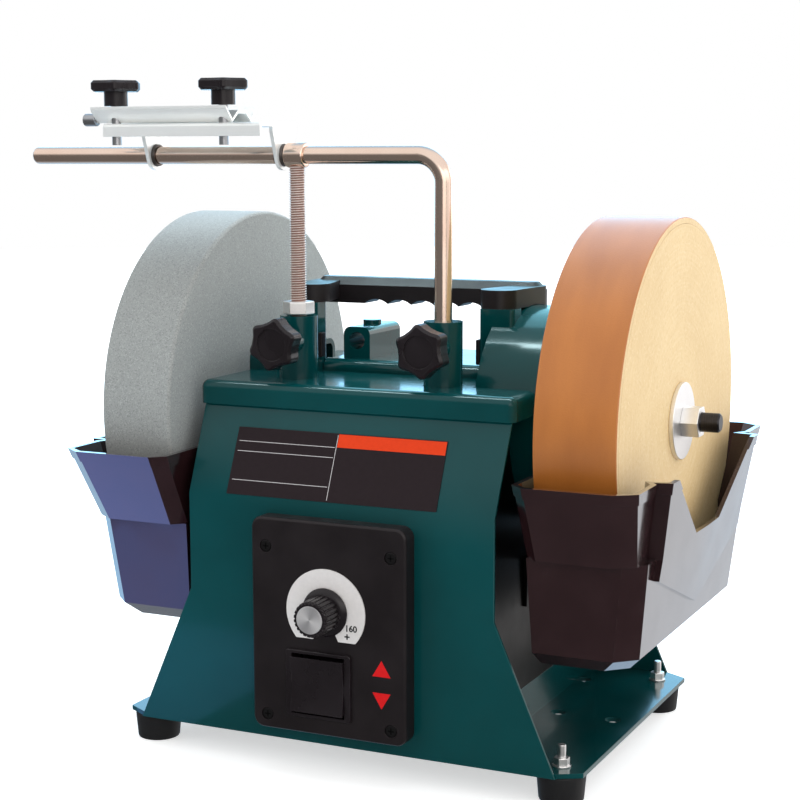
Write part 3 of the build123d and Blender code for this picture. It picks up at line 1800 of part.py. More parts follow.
with BuildPart() as trough_right:
    with Locations((leather_inner_face - trough_wall_gap, 0, 0)):
        add(trough_form.part)
finish(trough_right, "trough_right")

with BuildPart() as trough_left:
    with Locations((trough_wall_gap - stone_inner_face, 0, 0)):
        add(mirror(trough_form.part, about=Plane.YZ, mode=Mode.PRIVATE))
finish(trough_left, "trough_left")


def hanger(reach):
    """Bent bracket on a side panel, given the way from the panel to the trough's inner wall."""
    lip_start = reach - hook_reach + trough_wall + passing_gap
    shelf = hanger_lip_top - hook_grip - hanger_shelf_room - hanger_sheet
    with BuildPart() as bracket:
        with BuildSketch(Plane.XZ):
            with BuildLine():
                Polyline(
                    (0, shelf + hanger_sheet),
                    (0, shelf - hanger_back_height),
                    (hanger_sheet, shelf - hanger_back_height),
                    (hanger_sheet, shelf),
                    (lip_start + hanger_sheet, shelf),
                    (lip_start + hanger_sheet, hanger_lip_top),
                    (lip_start, hanger_lip_top),
                    (lip_start, shelf + hanger_sheet),
                    close=True,
                )
            make_face()
        extrude(amount=hook_half_length - hook_grip, both=True)
    return bracket.part


with BuildPart() as trough_hanger_right:
    with Locations((side_half_width, 0, 0)):
        add(hanger(leather_inner_face - trough_wall_gap - side_half_width))
finish(trough_hanger_right, "trough_hanger_right")

with BuildPart() as trough_hanger_left:
    left_bracket = hanger(stone_inner_face - trough_wall_gap - side_half_width)
    with Locations((-side_half_width, 0, 0)):
        add(mirror(left_bracket, about=Plane.YZ, mode=Mode.PRIVATE))
finish(trough_hanger_left, "trough_hanger_left")
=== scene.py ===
import json
import logging
import math
from abc import ABC, abstractmethod
from dataclasses import dataclass
from enum import Enum
from typing import Iterable, Mapping, Optional, Sequence, Union

import bmesh
import bpy
from mathutils import Matrix, Vector

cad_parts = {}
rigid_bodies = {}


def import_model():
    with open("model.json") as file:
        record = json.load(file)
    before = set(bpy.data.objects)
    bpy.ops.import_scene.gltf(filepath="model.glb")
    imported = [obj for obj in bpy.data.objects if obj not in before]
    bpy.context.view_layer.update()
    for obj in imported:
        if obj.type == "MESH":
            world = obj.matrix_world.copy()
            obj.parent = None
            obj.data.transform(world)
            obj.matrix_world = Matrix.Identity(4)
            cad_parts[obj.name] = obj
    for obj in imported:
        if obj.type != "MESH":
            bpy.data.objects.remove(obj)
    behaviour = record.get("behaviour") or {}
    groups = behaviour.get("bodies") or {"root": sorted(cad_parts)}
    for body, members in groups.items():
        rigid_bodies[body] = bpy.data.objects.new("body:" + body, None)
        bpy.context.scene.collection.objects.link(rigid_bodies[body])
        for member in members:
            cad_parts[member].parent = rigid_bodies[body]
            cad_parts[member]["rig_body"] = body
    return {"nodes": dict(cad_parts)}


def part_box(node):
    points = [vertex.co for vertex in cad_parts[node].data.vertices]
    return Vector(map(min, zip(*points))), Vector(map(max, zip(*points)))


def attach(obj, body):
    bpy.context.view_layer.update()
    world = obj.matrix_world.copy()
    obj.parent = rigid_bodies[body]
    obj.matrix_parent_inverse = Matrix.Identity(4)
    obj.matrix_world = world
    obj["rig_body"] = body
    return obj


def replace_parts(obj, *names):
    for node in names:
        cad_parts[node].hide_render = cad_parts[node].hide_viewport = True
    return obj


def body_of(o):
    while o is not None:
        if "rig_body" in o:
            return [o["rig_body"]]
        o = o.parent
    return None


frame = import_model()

LOG = logging.getLogger("sharpener")
MM = 0.001
SPINDLE_HEIGHT = 214.0
WHEEL_RADIUS = 125.0
HONING_MIDDLE = 151.0
FACING_FRONT = Matrix.Rotation(math.radians(90), 4, "X")
Colour = tuple[float, float, float]
Point = tuple[float, float, float]
Node = bpy.types.Node
Socket = bpy.types.NodeSocket
Sockets = Sequence[Socket]
Tree = bpy.types.NodeTree
Value = Union[float, tuple, Socket]
Inputs = Mapping[Union[str, int], Value]


class Effect(Enum):
    """Shared shader groups, each with its name, inputs and outputs."""

    MOTTLE = ("mottle", ("Size",), ("Mask",))
    RELIEF = ("relief", ("Size", "Strength", "Distance"), ("Normal",))
    BRUSH = ("brush", ("Stretch", "Strength", "Distance"), ("Mask", "Normal"))
    GRIT = ("grit", ("Size", "Strength", "Distance"), ("Dark", "Pale", "Normal"))
    WEAR = ("worn_edges", ("Size",), ("Mask",))
    DUST = ("settled_dust", ("Size",), ("Mask",))
    WHEEL = ("wheel_space", ("Centre",), ("Vector",))


def drawing_origin() -> Vector:
    """Find the floor point under the spindle, half-way along the base plate.

    Returns:
        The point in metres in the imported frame.
    """
    plate_low, plate_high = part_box("base_plate")
    spindle_low, spindle_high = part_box("spindle")
    return Vector(((plate_low[0] + plate_high[0]) / 2, (spindle_low[1] + spindle_high[1]) / 2, 0))


ORIGIN = drawing_origin()


def at(x: float, y: float, z: float) -> Vector:
    """Turn millimetres right of, behind and over the drawing's origin into metres in the frame."""
    return Vector((x, y, z)) * MM + ORIGIN


class Graph:
    """Adds nodes to a shader tree and wires them."""

    def __init__(self, tree: Tree) -> None:
        """Keep the tree that nodes are added to."""
        self.tree = tree

    def wire(self, node: Node, inputs: Inputs) -> None:
        """Set a node's inputs.

        Args:
            node: The node.
            inputs: Values or sockets, by name or place.
        """
        for key, value in inputs.items():
            target = node.inputs[key]
            if isinstance(value, Socket):
                self.tree.links.new(value, target)
            elif target.type == "RGBA":
                target.default_value = (*value, 1.0)
            else:
                target.default_value = value

    def add(self, kind: str, inputs: Optional[Inputs] = None, **settings: object) -> Node:
        """Add one node.

        Args:
            kind: The node's type name, after ShaderNode.
            inputs: Values or sockets for its inputs, by name or place.
            settings: Properties of the node itself.

        Returns:
            The new node.
        """
        node = self.tree.nodes.new(f"ShaderNode{kind}")
        for name, value in settings.items():
            setattr(node, name, value)
        self.wire(node, inputs or {})
        return node

    def math(self, operation: str, first: Value, second: Value = 0.0) -> Socket:
        """Work out one number from two."""
        return self.add("Math", {0: first, 1: second}, operation=operation).outputs[0]

    def times(self, first: Value, second: Value) -> Socket:
        """Product of two numbers."""
        return self.math("MULTIPLY", first, second)

    def hypot(self, first: Socket, second: Socket) -> Socket:
        """Length of a way whose two parts stand square to each other."""
        return self.math("SQRT", self.math("ADD", self.times(first, first), self.times(second, second)))

    def vector(self, operation: str, first: Value, second: Value) -> Socket:
        """Work out one vector from two."""
        return self.add("VectorMath", {0: first, 1: second}, operation=operation).outputs[0]

    def axes(self, vector: Value) -> Sockets:
        """The three numbers of a vector."""
        return self.add("SeparateXYZ", {0: vector}).outputs

    def remap(
        self, value: Value, low: float, high: float, to_low: float = 0.0, to_high: float = 1.0
    ) -> Socket:
        """Stretch the range from low to high onto another, held at its ends."""
        inputs = {0: value, 1: low, 2: high, 3: to_low, 4: to_high}
        return self.add("MapRange", inputs).outputs[0]

    def place(self) -> Socket:
        """Object coordinates of the point."""
        return self.add("TexCoord").outputs["Object"]

    def way_from(self, point: Point) -> Sockets:
        """The three numbers of the way from a point, given in millimetres."""
        return self.axes(self.vector("SUBTRACT", self.place(), tuple(at(*point))))

    def noise(self, scale: Value, detail: float, vector: Optional[Socket] = None) -> Socket:
        """Soft random numbers around one half, by object coordinates if no vector is given."""
        inputs = {"Vector": vector or self.place(), "Scale": scale, "Detail": detail}
        return self.add("TexNoise", inputs).outputs["Fac"]

    def cells(self, scale: Value, vector: Optional[Socket] = None) -> Mapping[str, Socket]:
        """Random cells, by object coordinates if no vector is given."""
        inputs = {"Vector": vector or self.place(), "Scale": scale}
        return self.add("TexVoronoi", inputs).outputs

    def bump(self, height: Socket, strength: Value, distance: Value) -> Socket:
        """Turn a height from 0 to 1 into a normal."""
        inputs = {"Height": height, "Strength": strength, "Distance": distance}
        return self.add("Bump", inputs).outputs["Normal"]

    def use(self, effect: Effect, **inputs: Value) -> Mapping[str, Socket]:
        """Put in a shared group and hand out its outputs."""
        return self.add("Group", inputs, node_tree=Group.tree_of(effect)).outputs

    def mask(self, effect: Effect, size: float) -> Socket:
        """Mask of a shared group at one size."""
        return self.use(effect, Size=size)["Mask"]

    def grained(self, size: float, strength: float, distance: float) -> Socket:
        """Normal of fine random bumps."""
        return self.use(Effect.RELIEF, Size=size, Strength=strength, Distance=distance)["Normal"]

    def wheel(self) -> Socket:
        """Coordinates across the honing wheel, round it and out from its axis."""
        return self.use(Effect.WHEEL, Centre=tuple(at(HONING_MIDDLE, 0.0, SPINDLE_HEIGHT)))["Vector"]

    def mix(self, share: Value, first: Value, second: Value) -> Socket:
        """Blend two colours, by the second one's share."""
        inputs = {0: share, 6: first, 7: second}
        return self.add("Mix", inputs, data_type="RGBA").outputs[2]

    def tint(self, tone: Value, mask: Socket, share: float, colour: Colour) -> Socket:
        """Lay a colour over a tone, by a share of a mask."""
        return self.mix(self.times(mask, share), tone, colour)

    def layered(self, tone: Value, *layers: tuple[Effect, float, float, Colour]) -> Socket:
        """Lay colours over one another.

        Args:
            tone: The lowest one.
            layers: Each one's mask, the mask's size, how much of it shows, and the colour.

        Returns:
            The socket with the colour.
        """
        for effect, size, share, colour in layers:
            tone = self.tint(tone, self.mask(effect, size), share, colour)
        return tone


class Group(Graph):
    """Shared shader group in the making."""

    vectors = ("Normal", "Stretch", "Centre", "Vector")

    @classmethod
    def tree_of(cls, effect: Effect) -> Tree:
        """Hand out a group's tree, made on first use by the method of its name.

        Args:
            effect: Which group.

        Returns:
            Its tree.
        """
        name, takes, gives = effect.value
        tree = bpy.data.node_groups.get(name)
        if not tree:
            tree = bpy.data.node_groups.new(name, "ShaderNodeTree")
            for way, sockets in (("INPUT", takes), ("OUTPUT", gives)):
                for socket in sockets:
                    kind = "NodeSocketVector" if socket in cls.vectors else "NodeSocketFloat"
                    tree.interface.new_socket(name=socket, in_out=way, socket_type=kind)
            group = cls(tree)
            entry = tree.nodes.new("NodeGroupInput").outputs
            made = getattr(group, name)(*(entry[socket] for socket in takes))
            group.wire(tree.nodes.new("NodeGroupOutput"), dict(zip(gives, made)))
        return tree

    def mottle(self, size: Socket) -> Sockets:
        """Cloudy mask."""
        return [self.remap(self.noise(size, 4.0), 0.35, 0.65)]

    def relief(self, size: Socket, *rise: Socket) -> Sockets:
        """Normal of fine random bumps."""
        return [self.bump(self.noise(size, 2.0), *rise)]

    def brush(self, stretch: Socket, *rise: Socket) -> Sockets:
        """Mask and normal of lines drawn out along one way."""
        lines = self.noise(1.0, 3.0, self.vector("MULTIPLY", self.place(), stretch))
        return [self.remap(lines, 0.3, 0.7), self.bump(lines, *rise)]

    def grit(self, size: Socket, *rise: Socket) -> Sockets:
        """Grains of two tones with pits between them.

        Args:
            size: Grains in a metre.
            rise: Strength and distance of the pits.

        Returns:
            Masks of the dark and the pale grains, and the normal.
        """
        cells = self.cells(size)
        dark, pale, _ = self.add("SeparateColor", {0: cells["Color"]}).outputs
        fine = self.noise(self.times(size, 1.7), 2.0)
        height = self.math("ADD", self.times(cells["Distance"], 0.7), fine)
        return [self.remap(dark, 0.72, 0.92), self.remap(pale, 0.75, 0.95), self.bump(height, *rise)]

    def worn_edges(self, size: Socket) -> Sockets:
        """Patchy mask along sharp edges.

        Args:
            size: How far the wear reaches, in metres.

        Returns:
            The mask.
        """
        rounded = self.add("Bevel", {"Radius": size}, samples=4).outputs[0]
        flat = self.add("NewGeometry").outputs["Normal"]
        dot = self.add("VectorMath", {0: rounded, 1: flat}, operation="DOT_PRODUCT")
        edge = self.remap(dot.outputs["Value"], 0.995, 0.88)
        return [self.times(edge, self.remap(self.noise(140.0, 4.0), 0.42, 0.68))]

    def settled_dust(self, size: Socket) -> Sockets:
        """Mask on faces that look up, broken into patches."""
        up = self.axes(self.add("NewGeometry").outputs["Normal"])[2]
        return [self.times(self.remap(up, 0.5, 1.0), self.remap(self.noise(size, 5.0), 0.4, 0.75))]

    def wheel_space(self, centre: Socket) -> Sockets:
        """Coordinates across a wheel, round it and out from its axis.

        Args:
            centre: Middle of the wheel.

        Returns:
            The vector.
        """
        x, y, z = self.axes(self.vector("SUBTRACT", self.place(), centre))
        along = self.times(self.math("ARCTAN2", y, z), WHEEL_RADIUS * MM)
        return [self.add("CombineXYZ", {0: x, 1: along, 2: self.hypot(y, z)}).outputs[0]]


@dataclass(frozen=True)
class Finish(Graph, ABC):
    """A look that becomes one material, whose tree it wires itself."""

    name: str
    slot: str

    @property
    def tree(self) -> Tree:
        """Tree of its material."""
        return bpy.data.materials[self.name].node_tree

    @abstractmethod
    def inputs(self) -> Inputs:
        """Work out the shader's inputs."""

    def material(self) -> bpy.types.Material:
        """Make the material, or hand out the one already made.

        Returns:
            The material.
        """
        made = bpy.data.materials.get(self.name)
        if not made:
            made = bpy.data.materials.new(self.name)
            made.use_nodes = True
            self.wire(made.node_tree.nodes["Principled BSDF"], self.inputs())
        return made


@dataclass(frozen=True)
class Paint(Finish):
    """Sprayed gloss paint on metal."""

    deep: Colour
    light: Colour
    worn: Colour
    roughness: float = 0.13
    peel: float = 0.04
    gloss: float = 0.24
    coat: float = 0.12
    dust_size: float = 60.0
    dust_tone: Colour = (0.35, 0.34, 0.32)

    def inputs(self) -> Inputs:
        """Cloudy tone, rubbed edges, settled dust and a fine peel.

        Returns:
            The shader's inputs.
        """
        tone = self.layered(
            self.deep,
            (Effect.MOTTLE, 14.0, 1.0, self.light),
            (Effect.WEAR, 0.0009, 0.4, self.worn),
            (Effect.DUST, self.dust_size, 0.02, self.dust_tone),
        )
        smear = self.mask(Effect.MOTTLE, 75.0)
        rough = self.remap(smear, 0.0, 1.0, self.roughness, self.roughness + 0.05)
        dusty = self.times(self.mask(Effect.DUST, self.dust_size), 0.03)
        return {
            "Base Color": tone,
            "Roughness": self.math("ADD", rough, dusty),
            "Normal": self.grained(420.0, self.peel, 0.0004),
            "Specular IOR Level": self.gloss,
            "Coat Weight": self.coat,
            "Coat Roughness": 0.05,
        }


@dataclass(frozen=True)
class Plastic(Finish):
    """Moulded plastic or rubber, with a skin that shines where it is seen aslant."""

    tone: Colour
    scuffed: Colour
    roughness: float = 0.4
    grain: float = 1500.0
    depth: float = 0.25
    gloss: float = 0.3
    skin: float = 0.0
    cloud_size: float = 40.0
    dust_tone: Colour = (0.3, 0.29, 0.27)

    def inputs(self) -> Inputs:
        """Fine moulded grain, pale scuffs on edges and uneven sheen.

        Returns:
            The shader's inputs.
        """
        tone = self.layered(
            self.tone,
            (Effect.MOTTLE, self.cloud_size, 1.0, tuple(c * 1.35 for c in self.tone)),
            (Effect.WEAR, 0.0007, 0.45, self.scuffed),
            (Effect.DUST, 90.0, 0.04, self.dust_tone),
        )
        cloud = self.mask(Effect.MOTTLE, self.cloud_size)
        made = {
            "Base Color": tone,
            "Roughness": self.remap(cloud, 0.0, 1.0, self.roughness - 0.05, self.roughness + 0.08),
            "Normal": self.grained(self.grain, self.depth, 0.00012),
            "Specular IOR Level": self.gloss,
        }
        if self.skin:
            facing = self.add("LayerWeight", {"Blend": 0.5}).outputs["Facing"]
            made["Coat Weight"] = self.remap(facing, 0.3, 0.58, 0.0, self.skin)
            made.update({"Coat IOR": 1.8, "Coat Roughness": 0.08})
        return made


@dataclass(frozen=True)
class Metal(Finish):
    """Bare or plated metal."""

    bright: Colour
    dull: Colour
    roughness: float = 0.25
    stretch: Colour = (900.0, 900.0, 900.0)
    lines: float = 0.05
    clouds: float = 30.0
    patches: float = 0.4
    metallic: float = 1.0

    def inputs(self) -> Inputs:
        """Drawn lines, cloudy plating and polished edges.

        Returns:
            The shader's inputs.
        """
        cloud = self.times(self.mask(Effect.MOTTLE, self.clouds), self.patches)
        drawn = self.use(Effect.BRUSH, Stretch=self.stretch, Strength=self.lines, Distance=0.0001)
        share = self.math("ADD", cloud, self.times(drawn["Mask"], 0.3))
        tone = self.mix(share, self.bright, self.dull)
        return {
            "Base Color": self.layered(tone, (Effect.WEAR, 0.0006, 0.4, self.bright)),
            "Roughness": self.remap(share, 0.0, 0.85, self.roughness - 0.06, self.roughness + 0.1),
            "Normal": drawn["Normal"],
            "Metallic": self.metallic,
        }


@dataclass(frozen=True)
class Threaded(Finish):
    """Plated screw thread, with painted shade between its crests."""

    crest: Colour
    # Colour at the root, darker than the crest: painted shade between the crests.
    root: Colour
    axis: tuple[float, float]
    crest_radius: float
    root_radius: float
    cloud_size: float = 60.0

    def inputs(self) -> Inputs:
        """Tone by the way out from the screw's upright axis, darker at the root as painted shade, with
        cloudy plating.

        Returns:
            The shader's inputs.
        """
        x, y, _ = self.way_from((*self.axis, 0.0))
        # Painted shade: the tone darkens from the crest in towards the root.
        share = self.remap(self.hypot(x, y), self.root_radius * MM, self.crest_radius * MM)
        tone = self.mix(share, self.root, self.crest)
        return {
            "Base Color": self.layered(tone, (Effect.MOTTLE, self.cloud_size, 0.25, self.root)),
            "Roughness": self.remap(self.mask(Effect.MOTTLE, self.cloud_size), 0.0, 1.0, 0.3, 0.42),
            "Metallic": 0.5,
        }


@dataclass(frozen=True)
class GritStone(Finish):
    """Bonded grit of the grinding wheel."""

    tone: Colour
    dark: Colour
    pale: Colour

    def inputs(self) -> Inputs:
        """Two-tone grains over a cloudy bond, with pits.

        Returns:
            The shader's inputs.
        """
        grit = self.use(Effect.GRIT, Size=1500.0, Strength=0.3, Distance=0.0003)
        tone = self.layered(self.tone, (Effect.MOTTLE, 30.0, 0.35, tuple(c * 0.86 for c in self.tone)))
        tone = self.tint(tone, grit["Dark"], 0.4, self.dark)
        return {
            "Base Color": self.tint(tone, grit["Pale"], 0.35, self.pale),
            "Roughness": 0.7,
            "Normal": grit["Normal"],
            "Sheen Weight": 0.25,
            "Sheen Roughness": 0.45,
            "Sheen Tint": (0.8, 0.93, 1.0),
        }


@dataclass(frozen=True)
class Leather(Finish):
    """Tanned strip round the honing wheel."""

    tone: Colour
    dark: Colour
    stretch: Point = (60.0, 16.0, 16.0)

    def inputs(self) -> Inputs:
        """Small creased cells, tan clouds drawn round the wheel and a soft sheen.

        Returns:
            The shader's inputs.
        """
        space = self.wheel()
        bands = self.noise(1.0, 4.0, self.vector("MULTIPLY", space, self.stretch))
        tone = self.tint(self.tone, self.remap(bands, 0.35, 0.68), 0.5, self.dark)
        cells = self.cells(1100.0, space)["Distance"]
        height = self.math("ADD", cells, self.times(self.noise(2600.0, 2.0), 0.5))
        return {
            "Base Color": self.tint(tone, self.remap(cells, 0.05, 0.45, 1.0, 0.0), 0.18, self.dark),
            "Roughness": 0.4,
            "Normal": self.bump(height, 0.2, 0.0002),
            "Specular IOR Level": 0.5,
            "Coat Weight": 0.4,
            "Coat Roughness": 0.3,
        }


@dataclass(frozen=True)
class WheelFace(Finish):
    """Pressed board of the honing wheel's core, turned on its faces."""

    tone: Colour
    dark: Colour
    pale: Colour
    stretch: Point = (1.0, 12.0, 700.0)

    def inputs(self) -> Inputs:
        """Fibre specks and faint rings from turning.

        Returns:
            The shader's inputs.
        """
        rings = self.noise(1.0, 3.0, self.vector("MULTIPLY", self.wheel(), self.stretch))
        grit = self.use(Effect.GRIT, Size=700.0, Strength=0.18, Distance=0.0003)
        tone = self.layered(self.tone, (Effect.MOTTLE, 18.0, 0.4, self.dark))
        tone = self.tint(tone, self.remap(rings, 0.4, 0.7), 0.22, self.pale)
        tone = self.tint(tone, grit["Dark"], 0.3, self.dark)
        return {
            "Base Color": self.tint(tone, grit["Pale"], 0.25, self.pale),
            "Roughness": 0.6,
            "Normal": grit["Normal"],
        }


@dataclass(frozen=True)
class Print(Finish):
    """Ink or foil on a plate, or a flat dark that stands for painted shade."""

    tone: Colour
    roughness: float = 0.4
    cloud_size: float = 420.0

    def inputs(self) -> Inputs:
        """Slightly uneven ink with a fine grain.

        Returns:
            The shader's inputs.
        """
        faded = tuple(c * 0.82 for c in self.tone)
        uneven = self.mask(Effect.MOTTLE, self.cloud_size)
        return {
            "Base Color": self.layered(self.tone, (Effect.MOTTLE, self.cloud_size, 0.25, faded)),
            "Roughness": self.remap(uneven, 0.0, 1.0, self.roughness, self.roughness + 0.12),
            "Normal": self.grained(2400.0, 0.1, 0.00005),
            "Specular IOR Level": 0.1,
        }


@dataclass(frozen=True)
class SpunDisc(Finish):
    """Bright metal disc turned on a lathe, with a painted highlight spread in two fan shapes from its
    middle.
    """

    bright: Colour
    dull: Colour
    centre: Point

    def inputs(self) -> Inputs:
        """Two soft fan-shaped painted highlights, with fine turning rays between them.

        Returns:
            The shader's inputs.
        """
        x, _, z = self.way_from(self.centre)
        angle = self.math("ARCTAN2", z, x)
        # Painted highlight: two bright fan shapes round the disc's middle, by angle.
        painted_highlight_fans = self.math("COSINE", self.math("ADD", self.times(angle, 2.0), 0.9))
        turned = self.add("CombineXYZ", {0: self.times(angle, 14.0)}).outputs[0]
        share = self.remap(self.math("ADD", painted_highlight_fans, self.noise(1.0, 2.0, turned)), -0.8, 1.6)
        return {"Base Color": self.mix(share, self.dull, self.bright), "Metallic": 0.75, "Roughness": 0.5}


class Look(Enum):
    """Every finish on the machine, with the record's slot that it belongs to."""

    GREEN = Paint(
        "green_gloss", "green_paint", (0.0009, 0.045, 0.047), (0.0015, 0.055, 0.058), (0.03, 0.12, 0.12)
    )
    BLACK_GLOSS = Paint(
        "black_gloss", "black_paint", (0.004, 0.003, 0.003), (0.006, 0.005, 0.005), (0.05, 0.05, 0.05),
        0.3, gloss=0.12, coat=0.0,
    )
    BLACK = Plastic("moulded_black", "black_plastic", (0.0105, 0.0075, 0.0085), (0.07, 0.06, 0.065), 0.36)
    KNOB = Plastic(
        "knob_black", "black_plastic", (0.0095, 0.0065, 0.008), (0.08, 0.07, 0.075), 0.28, 1100.0, 0.12, 0.35
    )
    TROUGH = Plastic(
        "tub_brown_black", "trough_plastic", (0.018, 0.0065, 0.0075), (0.05, 0.04, 0.04),
        0.15, 700.0, 0.03, 0.5, 1.0,
    )
    RUBBER = Plastic("foot_rubber", "rubber", (0.010, 0.010, 0.011), (0.06, 0.06, 0.06), 0.62, 1300.0, 0.4)
    RING = Print("dial_foil", "white_plastic", (0.72, 0.68, 0.66), 0.3)
    # Spun cap, with a painted highlight in two fan shapes.
    CAP = SpunDisc("spun_cap", "aluminium", (0.88, 0.86, 0.86), (0.42, 0.41, 0.42), (-1.0, 0.0, 105.0))
    CAST = Metal("cast_aluminium", "aluminium", (0.62, 0.63, 0.64), (0.45, 0.46, 0.47), 0.42)
    ZINC = Metal("zinc_plate", "zinc", (0.96, 0.95, 0.94), (0.82, 0.82, 0.82), 0.4)
    JIG = Metal(
        "jig_zinc", "zinc", (0.97, 0.97, 0.95), (0.86, 0.88, 0.87),
        0.36, (25.0, 700.0, 700.0), 0.06, 30.0, 0.3, 0.45,
    )
    BAR = Metal(
        "plated_bar", "plated_steel", (0.90, 0.72, 0.61), (0.74, 0.52, 0.41),
        0.2, (8.0, 8.0, 8.0), 0.0, 25.0, 0.3,
    )
    # Thread: bright crests, with the roots darkened as painted shade.
    THREAD = Threaded(
        "thread_zinc", "zinc", (1.0, 0.90, 0.85), (0.36, 0.20, 0.15), (-54.3, -67.0), 5.15, 4.45
    )
    SCREW = Metal("jig_screw", "zinc", (0.50, 0.51, 0.53), (0.32, 0.33, 0.35), 0.35)
    BRONZE = Metal("dark_bush", "bronze", (0.16, 0.14, 0.13), (0.08, 0.07, 0.07), 0.4)
    STEEL = Metal("turned_steel", "steel", (0.46, 0.46, 0.47), (0.28, 0.28, 0.29), 0.32)
    OXIDE = Metal("black_oxide", "steel", (0.055, 0.052, 0.055), (0.03, 0.03, 0.03), 0.34)
    IRON = Paint("grey_enamel", "motor_iron", (0.09, 0.09, 0.10), (0.12, 0.12, 0.13), (0.3, 0.3, 0.3), 0.35)
    BOARD = Plastic("circuit_green", "board", (0.01, 0.07, 0.03), (0.2, 0.2, 0.15), 0.35)
    STONE = GritStone("grey_grit", "stone", (0.325, 0.335, 0.322), (0.14, 0.15, 0.145), (0.54, 0.55, 0.54))
    LEATHER = Leather("tan_leather", "leather", (0.49, 0.160, 0.025), (0.35, 0.102, 0.014))
    CORE = WheelFace(
        "turned_board", "wheel_core", (0.74, 0.53, 0.27), (0.62, 0.41, 0.18), (0.84, 0.67, 0.42)
    )
    PLATE = Print("plate_black", "black_plastic", (0.020, 0.013, 0.015))
    BAND = Print("band_orange", "black_plastic", (0.74, 0.052, 0.012))
    RULE = Print("rule_white", "black_plastic", (0.55, 0.52, 0.52))
    RED = Print("arrow_red", "black_plastic", (0.66, 0.010, 0.012))
    INK = Print("ink_black", "white_plastic", (0.012, 0.012, 0.013))
    # Flat dark for the crosses on the screw heads: painted shade of their recesses.
    RECESS_SHADE = Print("recess_painted_shade", "black_plastic", (0.004, 0.004, 0.004), 0.6)


